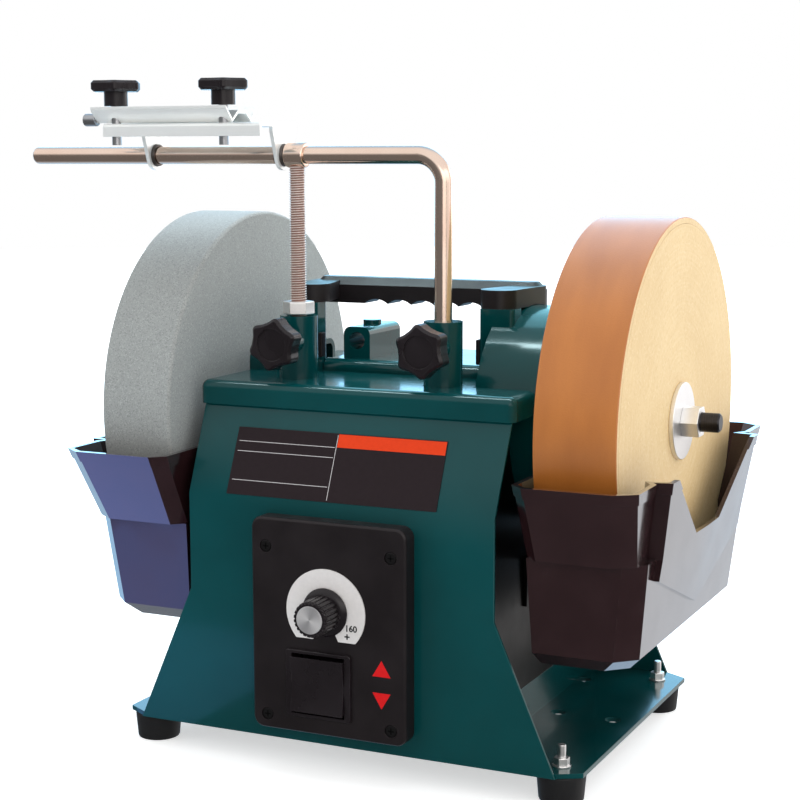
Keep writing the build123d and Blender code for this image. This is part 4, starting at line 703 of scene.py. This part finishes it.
class Shape:
    """A mesh in the making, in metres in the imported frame."""

    def __init__(self) -> None:
        """Start with nothing."""
        self.bm = bmesh.new()

    def made_since(self, before: set, material: int = 0) -> list[bmesh.types.BMFace]:
        """Give a material to the faces made since a moment.

        Args:
            before: Faces that were there.
            material: Place of the material in the piece.

        Returns:
            The new faces.
        """
        made = [f for f in self.bm.faces if f not in before]
        for face in made:
            face.material_index = material
        return made

    def rounded(self, faces: Iterable, width: float, segments: int = 2, angle: float = 40.0) -> None:
        """Round the sharp edges of some faces.

        Args:
            faces: The faces.
            width: Width of the round in millimetres.
            segments: Steps across it.
            angle: Edges sharper than this many degrees are rounded.
        """
        edges = dict.fromkeys(e for f in faces for e in f.edges)
        bmesh.ops.bevel(
            self.bm,
            geom=[e for e in edges if e.is_manifold and e.calc_face_angle(0.0) > math.radians(angle)],
            offset=width * MM,
            offset_type="OFFSET",
            affect="EDGES",
            segments=segments,
            profile=0.5,
            material=-1,
            clamp_overlap=True,
        )

    def box(self, low: Vector, high: Vector, material: int, turn: Optional[Matrix] = None) -> None:
        """Add a block.

        Args:
            low: Lowest corner.
            high: Highest corner.
            material: Place of its material.
            turn: Matrix that places it afterwards.
        """
        before = set(self.bm.faces)
        matrix = Matrix.Translation((low + high) / 2) @ Matrix.Diagonal((*(high - low), 1.0))
        bmesh.ops.create_cube(self.bm, size=1.0, matrix=turn @ matrix if turn else matrix)
        self.made_since(before, material)

    def rod(self, start: Vector, end: Vector, radius: float, edge: float = 0.0, segments: int = 48) -> None:
        """Add a round or many-sided bar.

        Args:
            start: Middle of its first end.
            end: Middle of its other end.
            radius: Radius in millimetres.
            edge: Width of its rounded ends in millimetres.
            segments: Sides.
        """
        before = set(self.bm.faces)
        way = end - start
        bmesh.ops.create_cone(
            self.bm,
            cap_ends=True,
            segments=segments,
            radius1=radius * MM,
            radius2=radius * MM,
            depth=way.length,
            matrix=Matrix.Translation((start + end) / 2) @ way.to_track_quat("Z", "Y").to_matrix().to_4x4(),
        )
        if edge:
            self.rounded(self.made_since(before), edge, 2, 50.0)

    def spun(
        self,
        profile: Iterable[tuple[float, float]],
        start: Vector,
        axis: Vector,
        steps: int,
        material: int = 0,
        turns: int = 1,
        rise: float = 0.0,
    ) -> None:
        """Turn a profile round an axis.

        Args:
            profile: Points as way along the axis and radius, in millimetres.
            start: Where the axis starts.
            axis: Its direction.
            steps: Steps in one turn.
            material: Place of its material.
            turns: How many turns.
            rise: Way along the axis in one turn, in millimetres.
        """
        before = set(self.bm.faces)
        side = axis.orthogonal().normalized()
        verts = [self.bm.verts.new(start + axis * a * MM + side * r * MM) for a, r in profile]
        edges = [self.bm.edges.new(pair) for pair in zip(verts, verts[1:])]
        bmesh.ops.spin(
            self.bm,
            geom=verts + edges,
            cent=start,
            axis=axis,
            dvec=axis * (rise * MM / steps),
            angle=2 * math.pi * turns,
            steps=steps * turns,
            use_merge=not rise,
        )
        bmesh.ops.remove_doubles(self.bm, verts=list(self.bm.verts), dist=1e-6)
        self.made_since(before, material)

    def thread(self, start: Vector, axis: Vector, radius: float, pitch: float, turns: int) -> float:
        """Wind a screw thread.

        Args:
            start: Where its axis starts.
            axis: Its direction.
            radius: Radius at the crest in millimetres.
            pitch: Rise of one turn in millimetres.
            turns: How many turns.

        Returns:
            Radius at the root in millimetres.
        """
        root = radius - 0.6 * pitch
        profile = ((0.0, root), (0.14, root), (0.48, radius), (0.62, radius), (1.0, root))
        self.spun([(a * pitch, r) for a, r in profile], start, axis, 24, 0, turns, pitch)
        return root

    def copied(self, node: str) -> list[bmesh.types.BMFace]:
        """Take in a copy of a CAD node, with its doubles merged and flat faces joined.

        Args:
            node: Name of the node.

        Returns:
            The copied faces.
        """
        self.bm.from_mesh(frame["nodes"][node].data)
        bmesh.ops.remove_doubles(self.bm, verts=list(self.bm.verts), dist=2e-6)
        bmesh.ops.dissolve_limit(
            self.bm, angle_limit=math.radians(0.6), verts=list(self.bm.verts), edges=list(self.bm.edges)
        )
        return self.made_since(set())

    def words(self, text: str, size: float, place: Matrix, depth: float) -> None:
        """Set plain figures or signs.

        Args:
            text: What to set.
            size: Height of the letters in millimetres.
            place: Matrix from flat lettering to its place.
            depth: How proud they stand in millimetres.
        """
        curve = bpy.data.curves.new("lettering", "FONT")
        curve.body = text
        curve.size = size * MM
        curve.align_x = "CENTER"
        curve.align_y = "CENTER"
        curve.extrude = depth * MM / 2
        curve.offset = size * MM * 0.022
        holder = bpy.data.objects.new("lettering", curve)
        mesh = holder.to_mesh()
        mesh.transform(place)
        self.bm.from_mesh(mesh)
        self.made_since(set())
        holder.to_mesh_clear()
        bpy.data.objects.remove(holder)
        bpy.data.curves.remove(curve)

    def piece(
        self, name: str, looks: Sequence[Look], smooth: float = 35.0, body: str = "frame"
    ) -> bpy.types.Object:
        """Finish the mesh as a piece on a body.

        Args:
            name: Name of the piece.
            looks: Its finishes in order.
            smooth: Edges sharper than this many degrees stay sharp.
            body: The body it rides on.

        Returns:
            The object.
        """
        bmesh.ops.recalc_face_normals(self.bm, faces=list(self.bm.faces))
        mesh = bpy.data.meshes.new(name)
        self.bm.to_mesh(mesh)
        self.bm.free()
        for look in looks:
            mesh.materials.append(look.value.material())
        mesh.polygons.foreach_set("use_smooth", [True] * len(mesh.polygons))
        mesh.set_sharp_from_angle(angle=math.radians(smooth))
        obj = bpy.data.objects.new(name, mesh)
        bpy.context.scene.collection.objects.link(obj)
        obj.modifiers.new("weighted", "WEIGHTED_NORMAL").keep_sharp = True
        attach(obj, body)
        LOG.info("%s on %s, %d faces", name, body, len(mesh.polygons))
        return obj

    def shown(self, node: str, *looks: Look, smooth: float = 35.0) -> None:
        """Finish the mesh as the piece that shows in place of a CAD node, on that node's body."""
        body = body_of(frame["nodes"][node])[0]
        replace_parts(self.piece(f"{node}_shown", looks, smooth, body), node)


def softened(node: str, look: Look, edge: float, angle: float = 40.0, segments: int = 2) -> None:
    """Show a CAD node with its edges rounded off.

    Args:
        node: Name of the node.
        look: Its finish.
        edge: Width of the round in millimetres; 0 leaves the edges.
        angle: Edges sharper than this many degrees are rounded.
        segments: Steps across the round.
    """
    shape = Shape()
    faces = shape.copied(node)
    if edge:
        shape.rounded(faces, edge, segments, angle)
    shape.shown(node, look)


@dataclass
class SheetBody:
    """Base plate, bent panels, cover, feet and the plates on the body."""

    sheet_edge: float = 0.45
    front_face: float = -124.0
    bend_height: float = 168.4
    slope_run: float = 24.0
    slope_rise: float = 53.6
    label_left: float = -76.0
    label_right: float = 66.0
    label_low: float = 169.6
    label_high: float = 209.0
    label_split: float = -6.5
    label_thickness: float = 0.5
    print_thickness: float = 0.575
    band_low: float = 201.0
    rule_heights: tuple[float, ...] = (200.7, 194.8, 177.9)
    rule_width: float = 0.35
    plate_top: float = 20.0
    stud_places: tuple[tuple[float, float], ...] = ((-140, -107), (140, -107), (-140, 86), (140, 86))
    stud_stack: tuple[tuple[float, float, float, int], ...] = (
        (5.6, 1.0, 0.25, 40),
        (5.0, 4.6, 0.4, 6),
        (2.5, 7.9, 0.7, 32),
    )
    platform_half: float = 56.0
    platform_top: float = 245.0
    platform_front: float = -30.0
    roll_radius: float = 6.5

    def slope_place(self) -> Matrix:
        """Matrix of the sloped face: X across, Y up the slope, Z out of it.

        Returns:
            The matrix, with its origin at the bend under the spindle's middle.
        """
        up = Vector((0.0, self.slope_run, self.slope_rise)).normalized()
        across = Vector((1.0, 0.0, 0.0))
        place = Matrix((across, up, across.cross(up))).transposed().to_4x4()
        place.translation = at(0.0, self.front_face, self.bend_height)
        return place

    def on_slope(self, x: float, height: float, proud: float) -> Vector:
        """Point on the slope in its own metres, given millimetres across, over the floor and proud."""
        way = (height - self.bend_height) * math.hypot(self.slope_run, self.slope_rise) / self.slope_rise
        return Vector((x, way, proud)) * MM

    def label(self) -> None:
        """Bare plate with its colour band and rules."""
        shape = Shape()
        place = self.slope_place()
        left, right, split = self.label_left, self.label_right, self.label_split
        low, high = self.label_low, self.label_high
        panels = [(0, left, right, low, high), (1, split + 0.5, right - 0.4, self.band_low, high - 0.4)]
        panels += [(2, left + 2, split - 1, z, z + self.rule_width) for z in self.rule_heights]
        panels += [(2, split - 0.2, split + 0.2, low + 1, high - 1)]
        for material, start, end, bottom, top in panels:
            proud = self.print_thickness if material else self.label_thickness
            shape.box(self.on_slope(start, bottom, 0.0), self.on_slope(end, top, proud), material, place)
        shape.piece("label_plate", [Look.PLATE, Look.BAND, Look.RULE])

    def studs(self) -> None:
        """Slim studs of the feet, each a stack of washer, nut and stud end."""
        shape = Shape()
        for x, y in self.stud_places:
            height = self.plate_top
            for radius, rise, edge, sides in self.stud_stack:
                shape.rod(at(x, y, height), at(x, y, height + rise), radius, edge, sides)
                height += rise
        shape.shown("foot_bolts", Look.ZINC)

    def cover(self) -> None:
        """Top cover, with the front edge of its platform rolled."""
        shape = Shape()
        shape.rounded(shape.copied("top_cover"), 0.5)
        y = self.platform_front + self.roll_radius
        z = self.platform_top - self.roll_radius
        left, right = at(-self.platform_half, y, z), at(self.platform_half, y, z)
        shape.rod(left, right, self.roll_radius, 0.0, 64)
        shape.shown("top_cover", Look.GREEN)

    def build(self) -> None:
        """Dress the body."""
        for node in ("base_plate", "front_panel", "rear_panel"):
            softened(node, Look.GREEN, self.sheet_edge)
        self.cover()
        for node in ("side_panel_left", "side_panel_right", "trough_hanger_left", "trough_hanger_right"):
            softened(node, Look.BLACK_GLOSS, 0.3)
        softened("feet", Look.RUBBER, 1.2)
        self.studs()
        softened("cable_gland", Look.BLACK, 0.6)
        self.label()


@dataclass
class Housings:
    """Cast housings, their posts, the handle and the sleeves."""

    cast_edge: float = 0.9
    sleeve_edge: float = 0.6

    def build(self) -> None:
        """Dress the castings and the handle."""
        for node in ("gear_housing", "bearing_housing", "horizontal_sleeve"):
            softened(node, Look.GREEN, self.cast_edge)
        for node in ("sleeve_left", "sleeve_right"):
            softened(node, Look.GREEN, self.sleeve_edge)
        softened("handle", Look.BLACK, 1.2, 28.0, 3)
        softened("post_plugs", Look.BLACK, 0.8)


@dataclass
class ControlPanel:
    """Control box with its dial, knob and switch."""

    box_front: float = -136.0
    dial_x: float = -1.0
    dial_height: float = 105.0
    ring_front: float = -136.8
    ring_drop: float = 17.5
    knob_back: float = -137.1
    knob_length: float = 20.5
    knob_bore: float = 3.2
    skirt_radius: float = 15.0
    barrel_radius: float = 11.5
    barrel_start: float = 2.4
    barrel_rims: tuple[tuple[float, float], ...] = ((0.8, 0.975), (0.55, 0.93))
    flutes: int = 24
    flute_steps: int = 6
    flute_share: float = 0.935
    marks: tuple[tuple[str, float, float, float], ...] = (
        ("160", 5.4, 17.2, -8.6),
        ("+", 6.6, 14.6, -14.0),
    )
    mark_depth: float = 0.1
    screw_x: float = 42.0
    screw_heights: tuple[float, ...] = (36.0, 142.0)
    screw_radius: float = 3.6
    recess_shade_bars: tuple[tuple[float, float], ...] = ((0.5, 2.0), (2.0, 0.5))
    arrow_x: float = 36.0
    arrow_half: float = 6.0
    arrow_up: tuple[float, float] = (69.0, 79.0)
    arrow_down: tuple[float, float] = (59.0, 49.0)

    def screws(self) -> None:
        """Screws in the box's corners, each with a dark cross laid proud of its head as painted shade of the
        recess.
        """
        shape = Shape()
        front = self.box_front
        for x in (-self.screw_x, self.screw_x):
            for z in self.screw_heights:
                shape.rod(at(x, front + 1.2, z), at(x, front + 0.2, z), self.screw_radius, 0.5, 32)
                # Dark cross just proud of the head: painted shade of the cross recess.
                for wide, tall in self.recess_shade_bars:
                    shape.box(at(x - wide, front + 0.12, z - tall), at(x + wide, front + 0.6, z + tall), 1)
        shape.piece("box_screws", [Look.OXIDE, Look.RECESS_SHADE])

    def arrows(self) -> None:
        """Red triangles beside the switch."""
        shape = Shape()
        for low, tip in (self.arrow_up, self.arrow_down):
            middle = at(self.arrow_x, self.box_front - self.mark_depth / 2, (2 * low + tip) / 3)
            stretch = Matrix.Diagonal((self.arrow_half / 0.866, abs(tip - low) / 1.5, 1.0, 1.0))
            spin = Matrix.Rotation(0.0 if tip > low else math.pi, 4, "Z")
            bmesh.ops.create_cone(
                shape.bm,
                cap_ends=True,
                segments=3,
                radius1=MM,
                radius2=MM,
                depth=self.mark_depth * MM,
                matrix=Matrix.Translation(middle) @ FACING_FRONT @ stretch @ spin,
            )
        shape.piece("direction_marks", [Look.RED])

    def ring(self) -> None:
        """Dial ring, cut off level at its foot."""
        shape = Shape()
        shape.copied("dial_ring")
        cut = bmesh.ops.bisect_plane(
            shape.bm,
            geom=[*shape.bm.verts, *shape.bm.edges, *shape.bm.faces],
            plane_co=at(self.dial_x, self.ring_front, self.dial_height - self.ring_drop),
            plane_no=(0.0, 0.0, -1.0),
            clear_outer=True,
        )
        edges = [g for g in cut["geom_cut"] if isinstance(g, bmesh.types.BMEdge)]
        bmesh.ops.holes_fill(shape.bm, edges=edges, sides=0)
        shape.shown("dial_ring", Look.RING)

    def dial_marks(self) -> None:
        """Plain figure and sign at the end of the dial ring."""
        shape = Shape()
        for text, size, x, z in self.marks:
            place = at(self.dial_x + x, self.ring_front - self.mark_depth / 2, self.dial_height + z)
            shape.words(text, size, Matrix.Translation(place) @ FACING_FRONT, self.mark_depth)
        shape.piece("dial_marks", [Look.INK])

    def knob(self) -> None:
        """Fluted speed knob with its skirt."""
        shape = Shape()
        start = at(self.dial_x, self.knob_back, self.dial_height)
        axis = Vector((0.0, -1.0, 0.0))
        skirt, barrel, bore = self.skirt_radius, self.barrel_radius, self.knob_bore
        flat = ((0.0, bore), (0.0, skirt - 0.3), (0.3, skirt), (0.9, skirt))
        slope = ((1.4, skirt - 0.6), (2.6, barrel + 1.6), (3.4, barrel - 1.0), (3.4, bore))
        shape.spun(flat + slope, start, axis, 96)
        foot = start + axis * self.barrel_start * MM
        loop = bmesh.ops.create_circle(
            shape.bm,
            cap_ends=False,
            segments=self.flutes * self.flute_steps,
            radius=barrel * MM,
            matrix=Matrix.Translation(foot) @ FACING_FRONT,
        )["verts"]
        space = Matrix.Translation(-start)
        valleys = [v for i, v in enumerate(loop) if i % self.flute_steps in (0, 1)]
        bmesh.ops.scale(shape.bm, vec=(self.flute_share, 1.0, self.flute_share), verts=valleys, space=space)
        edges = list(dict.fromkeys(e for v in loop for e in v.link_edges))
        for rise, share in ((self.knob_length - self.barrel_start - 1.6, 0.965), *self.barrel_rims):
            grown = bmesh.ops.extrude_edge_only(shape.bm, edges=edges)["geom"]
            verts = [g for g in grown if isinstance(g, bmesh.types.BMVert)]
            edges = [g for g in grown if isinstance(g, bmesh.types.BMEdge)]
            bmesh.ops.translate(shape.bm, vec=axis * rise * MM, verts=verts)
            bmesh.ops.scale(shape.bm, vec=(share, 1.0, share), verts=verts, space=space)
        bmesh.ops.holes_fill(shape.bm, edges=edges, sides=0)
        shape.shown("speed_knob", Look.KNOB, smooth=40.0)

    def build(self) -> None:
        """Dress the control box."""
        softened("control_box", Look.BLACK, 0.3)
        self.ring()
        softened("switch_body", Look.KNOB, 0.3)
        softened("rocker", Look.KNOB, 0.5)
        softened("knob_cap", Look.CAP, 0.3)
        self.screws()
        self.arrows()
        self.dial_marks()
        self.knob()


@dataclass
class Wheels:
    """Stone wheel, honing wheel and what holds them on the spindle."""

    thread_radius: float = 6.05
    thread_pitch: float = 1.5
    thread_turns: int = 8
    thread_chamfer: float = 1.2
    stone_end: float = -192.0
    leather_end: float = 202.0

    def spindle(self) -> None:
        """Spindle with threads at its two ends."""
        shape = Shape()
        shape.copied("spindle")
        for end, way in ((self.stone_end, 1.0), (self.leather_end, -1.0)):
            start = at(end + way * self.thread_chamfer, 0.0, SPINDLE_HEIGHT)
            axis = Vector((way, 0, 0))
            shape.thread(start, axis, self.thread_radius, self.thread_pitch, self.thread_turns)
        shape.shown("spindle", Look.OXIDE)

    def tread(self) -> None:
        """Leather strip, pale on its cut sides."""
        shape = Shape()
        shape.rounded(shape.copied("leather_tread"), 0.3, 2, 30.0)
        shape.bm.normal_update()
        for face in shape.bm.faces:
            face.material_index = int(abs(face.normal.x) > 0.9)
        shape.shown("leather_tread", Look.LEATHER, Look.CORE)

    def build(self) -> None:
        """Dress the wheels."""
        softened("stone_wheel", Look.STONE, 0.8, 30.0)
        softened("leather_wheel", Look.CORE, 0.0)
        self.tread()
        for node, edge in (("wheel_washers", 0.5), ("wheel_nuts", 0.6), ("wheel_collars", 0.5)):
            softened(node, Look.ZINC, edge)
        self.spindle()


@dataclass
class SupportBar:
    """Bent bar, its threaded leg, height nut and lock knobs."""

    leg_x: float = -54.3
    leg_y: float = -67.0
    bar_height: float = 376.7
    leg_low: float = 222.0
    thread_radius: float = 5.2
    thread_pitch: float = 1.5
    collar_radius: float = 7.75
    collar_half: float = 6.7
    collar_bore: float = 5.52

    def leg(self) -> None:
        """Threaded leg with its collar on the bar."""
        shape = Shape()
        top = self.bar_height - self.collar_radius + 1.2
        turns = int((top - self.leg_low) / self.thread_pitch)
        start = at(self.leg_x, self.leg_y, self.leg_low)
        root = shape.thread(start, Vector((0, 0, 1)), self.thread_radius, self.thread_pitch, turns)
        shape.rod(start, at(self.leg_x, self.leg_y, top), root + 0.02)
        left = at(self.leg_x - self.collar_half, self.leg_y, self.bar_height)
        outer = self.collar_radius
        near = ((0.0, self.collar_bore), (0.0, outer - 1.0), (0.4, outer - 0.3), (1.0, outer))
        far = tuple((2 * self.collar_half - a, r) for a, r in reversed(near))
        shape.spun(near + far, left, Vector((1, 0, 0)), 64, 1)
        shape.shown("threaded_leg", Look.THREAD, Look.BAR)

    def build(self) -> None:
        """Dress the bar and its knobs."""
        softened("support_bar", Look.BAR, 0.0)
        softened("height_nut", Look.ZINC, 0.4)
        softened("lock_knob_left", Look.KNOB, 0.9, 30.0, 3)
        softened("lock_knob_right", Look.KNOB, 0.9, 30.0, 3)
        self.leg()


@dataclass
class KnifeJig:
    """Sliding jig with its clamp plate and star knobs."""

    screw_radius: float = 3.2
    neck_seat: float = 407.0
    left_screw: tuple[float, float] = (-171.3, -92.0)
    right_screw: tuple[float, float] = (-92.3, -92.0)

    def star(self, node: str, place: tuple[float, float]) -> None:
        """Star knob with its bare screw.

        Args:
            node: Name of the CAD node.
            place: Where its screw stands, in millimetres.
        """
        shape = Shape()
        shape.rounded(shape.copied(node), 0.9, 3, 30.0)
        axis = at(*place, 0.0)
        for face in shape.bm.faces:
            centre = face.calc_center_median()
            near = math.hypot(centre.x - axis.x, centre.y - axis.y) < self.screw_radius * MM
            face.material_index = int(near and centre.z < self.neck_seat * MM)
        shape.shown(node, Look.KNOB, Look.SCREW)

    def build(self) -> None:
        """Dress the jig."""
        softened("jig_base", Look.JIG, 0.35)
        softened("jig_clamp", Look.JIG, 0.35)
        softened("jig_stub", Look.SCREW, 0.6)
        softened("jig_bushes", Look.BRONZE, 0.4)
        self.star("jig_knob_left", self.left_screw)
        self.star("jig_knob_right", self.right_screw)


@dataclass
class Troughs:
    """Water troughs."""

    edge: float = 1.0

    def build(self) -> None:
        """Dress the troughs."""
        for node in ("trough_left", "trough_right"):
            softened(node, Look.TROUGH, self.edge, 20.0, 3)


@dataclass
class Inside:
    """Pieces inside the body, which keep their CAD meshes."""

    looks: tuple[tuple[Look, tuple[str, ...]], ...] = (
        (Look.CAST, ("gear_plate",)),
        (Look.STEEL, ("drive_gear", "idler_pinion", "idler_gear", "idler_shaft", "motor_pinion")),
        (Look.STEEL, ("motor_shaft", "pot_shaft", "bearing_outer_rings", "bearing_inner_rings")),
        (Look.BLACK, ("potentiometer",)),
        (Look.IRON, ("motor_body",)),
        (Look.BOARD, ("speed_board",)),
    )

    def build(self) -> None:
        """Give each piece its finish."""
        for look, nodes in self.looks:
            for node in nodes:
                mesh = frame["nodes"][node].data
                mesh.materials.clear()
                mesh.materials.append(look.value.material())
                LOG.info("%s keeps its CAD mesh", node)


RIMS = ("leather_tread", "stone_wheel")
PAINTED = ("top_cover", "gear_housing", "bearing_housing", "horizontal_sleeve", "sleeve_left") + (
    ("sleeve_right", "front_panel", "rear_panel", "base_plate", "handle")
)


@dataclass(frozen=True)
class SoftLight:
    """One rectangular light that looks at a point."""

    name: str
    place: Point
    aim: Point
    width: float
    height: float
    power: float
    colour: Colour
    mirrored: bool = True
    lights_up: bool = True
    only_on: tuple[str, ...] = ()

    def build(self) -> None:
        """Put the light up."""
        lamp = bpy.data.lights.new(self.name, "AREA")
        lamp.shape = "RECTANGLE"
        lamp.size = self.width
        lamp.size_y = self.height
        lamp.energy = self.power
        lamp.color = self.colour
        obj = bpy.data.objects.new(self.name, lamp)
        obj.location = self.place
        way = Vector(self.aim) - Vector(self.place)
        obj.rotation_euler = way.to_track_quat("-Z", "Y").to_euler()
        obj.visible_camera = False
        obj.visible_glossy = self.mirrored
        obj.visible_diffuse = self.lights_up
        if self.only_on:
            lit = bpy.data.collections.new(f"{self.name}_lit")
            for name in self.only_on:
                lit.objects.link(bpy.data.objects[f"{name}_shown"])
            obj.light_linking.receiver_collection = lit
        bpy.context.scene.collection.objects.link(obj)


@dataclass
class Studio:
    """Pale floor, white surround, lights and camera."""

    floor_radius: float = 6.0
    floor_near: float = 0.3
    floor_far: float = 1.3
    floor_glow: float = 0.55
    floor_tone: Colour = (0.8, 0.8, 0.8)
    front_glow: float = 0.16
    rear_glow: float = 0.8
    left_tint: Colour = (0.42, 0.70, 1.0)
    right_tint: Colour = (1.0, 0.97, 0.96)
    white: Colour = (1.0, 1.0, 1.0)
    lights: tuple[SoftLight, ...] = (
        SoftLight(
            "top", (0, 1.15, 1.45), (0, 0, 0.2), 1.8, 1.6, 26.0, (0.32, 0.84, 1.0),
            lights_up=False, only_on=PAINTED,
        ),
        SoftLight(
            "crest", (0, 1.15, 1.45), (0.1, 0, 0.3), 1.8, 1.6, 10.0, (0.80, 0.88, 1.0),
            lights_up=False, only_on=RIMS,
        ),
        SoftLight("top_soft", (0, 0.6, 1.6), (0, 0, 0.2), 1.8, 1.8, 42.0, (0.80, 0.93, 1.0), False),
        SoftLight(
            "strip", (0, -0.25, 1.7), (0, 0, 0.2), 1.8, 0.14, 30.0, (0.7, 0.95, 1.0),
            lights_up=False, only_on=PAINTED,
        ),
        SoftLight("right", (1.7, -0.2, 0.7), (0.1, 0, 0.2), 1.6, 1.2, 5.6, (1.0, 0.96, 0.93)),
        SoftLight("front_right", (1.1, -1.6, 0.6), (0, 0, 0.25), 1.5, 1.1, 6.5, (1.0, 0.95, 0.91)),
        SoftLight("left", (-1.5, -1.2, 0.6), (-0.1, 0, 0.2), 0.7, 1.0, 6.5, (0.90, 0.95, 1.0), False),
        SoftLight("rear_left", (-0.9, 1.6, 0.6), (0, 0, 0.25), 1.6, 1.0, 13.0, (0.32, 0.70, 1.0)),
        SoftLight("rear_right", (0.9, 1.5, 0.6), (0.1, 0, 0.2), 1.0, 0.9, 4.0, (1.0, 0.98, 0.97)),
        SoftLight(
            "floor_left", (-0.24, -0.3, 0.004), (-0.24, -0.3, 1.0), 0.24, 0.34, 0.78, (0.28, 0.4, 1.0),
            only_on=("trough_left", "base_plate"),
        ),
        SoftLight(
            "floor_near", (-0.2, -0.26, 0.004), (-0.2, -0.26, 1.0), 0.2, 0.22, 0.16, (0.2, 0.5, 1.0),
            only_on=("front_panel",),
        ),
    )
    camera_place: Point = (480.99, -1069.56, 379.58)
    yaw: float = 25.4435
    pitch: float = -9.1914
    roll: float = -0.155
    lens: float = 80.70
    shift: tuple[float, float] = (0.0224, 0.0505)

    def floor(self) -> None:
        """Pale floor that keeps the machine's shadow."""
        shape = bmesh.new()
        bmesh.ops.create_circle(shape, cap_ends=True, segments=96, radius=self.floor_radius)
        mesh = bpy.data.meshes.new("floor")
        shape.to_mesh(mesh)
        shape.free()
        material = bpy.data.materials.new("floor_white")
        material.use_nodes = True
        graph = Graph(material.node_tree)
        far = graph.add("VectorMath", {0: graph.place()}, operation="LENGTH").outputs["Value"]
        glow = graph.remap(far, self.floor_near, self.floor_far, self.floor_glow, 1.0)
        seen = graph.add("LightPath").outputs["Is Camera Ray"]
        graph.wire(
            material.node_tree.nodes["Principled BSDF"],
            {
                "Base Color": self.floor_tone,
                "Roughness": 0.9,
                "Specular IOR Level": 0.0,
                "Emission Color": self.white,
                "Emission Strength": graph.times(glow, seen),
            },
        )
        mesh.materials.append(material)
        obj = bpy.data.objects.new("floor", mesh)
        obj.visible_glossy = False
        bpy.context.scene.collection.objects.link(obj)

    def world(self) -> None:
        """White surround for the camera; as light, dim in front and bluish behind and above."""
        world = bpy.data.worlds.new("surround")
        bpy.context.scene.world = world
        world.use_nodes = True
        graph = Graph(world.node_tree)
        world.node_tree.nodes.clear()
        path = graph.add("LightPath").outputs
        seen = graph.math("MAXIMUM", path["Is Camera Ray"], path["Is Transmission Ray"])
        across, along, up = graph.axes(graph.add("TexCoord").outputs["Generated"])
        behind = graph.remap(along, 0.0, 0.6)
        rear = graph.math("MAXIMUM", behind, graph.remap(up, 0.05, 0.4))
        pale = graph.remap(path["Is Glossy Ray"], 0.0, 1.0, self.rear_glow - self.front_glow, 1.0)
        level = graph.math("MINIMUM", graph.math("ADD", graph.times(rear, pale), self.front_glow), 1.0)
        side = graph.mix(graph.remap(across, -0.2, 0.3), self.left_tint, self.right_tint)
        hidden = graph.times(behind, graph.math("SUBTRACT", 1.0, seen))
        inputs = {
            "Color": graph.mix(hidden, self.white, side),
            "Strength": graph.math("MAXIMUM", level, seen),
        }
        glow = graph.add("Background", inputs)
        graph.add("OutputWorld", {"Surface": glow.outputs[0]})

    def camera(self) -> None:
        """Camera where the picture was taken from."""
        yaw, pitch, roll = (math.radians(a) for a in (self.yaw, self.pitch, self.roll))
        level = math.cos(pitch)
        forward = Vector((-math.sin(yaw) * level, math.cos(yaw) * level, math.sin(pitch)))
        right = Vector((math.cos(yaw), math.sin(yaw), 0.0))
        turn = Matrix((right, right.cross(forward), -forward)).transposed().to_4x4()
        lens = bpy.data.cameras.new("camera")
        lens.lens = self.lens
        lens.sensor_width = 36.0
        lens.shift_x, lens.shift_y = self.shift
        lens.clip_end = 50.0
        obj = bpy.data.objects.new("camera", lens)
        obj.matrix_world = Matrix.Translation(at(*self.camera_place)) @ turn @ Matrix.Rotation(roll, 4, "Z")
        bpy.context.scene.collection.objects.link(obj)
        bpy.context.scene.camera = obj

    def build(self) -> None:
        """Set the stage."""
        self.floor()
        self.world()
        for light in self.lights:
            light.build()
        self.camera()
        bpy.context.scene.view_settings.view_transform = "Standard"


def main() -> None:
    """Build every sub-assembly in order."""
    logging.basicConfig(level=logging.INFO, format="%(message)s")
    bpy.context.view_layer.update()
    dressed = (SheetBody(), Housings(), ControlPanel(), Wheels(), SupportBar(), KnifeJig(), Troughs())
    for part in (*dressed, Inside(), Studio()):
        LOG.info("%s", type(part).__name__)
        part.build()


if __name__ == "__main__":
    main()
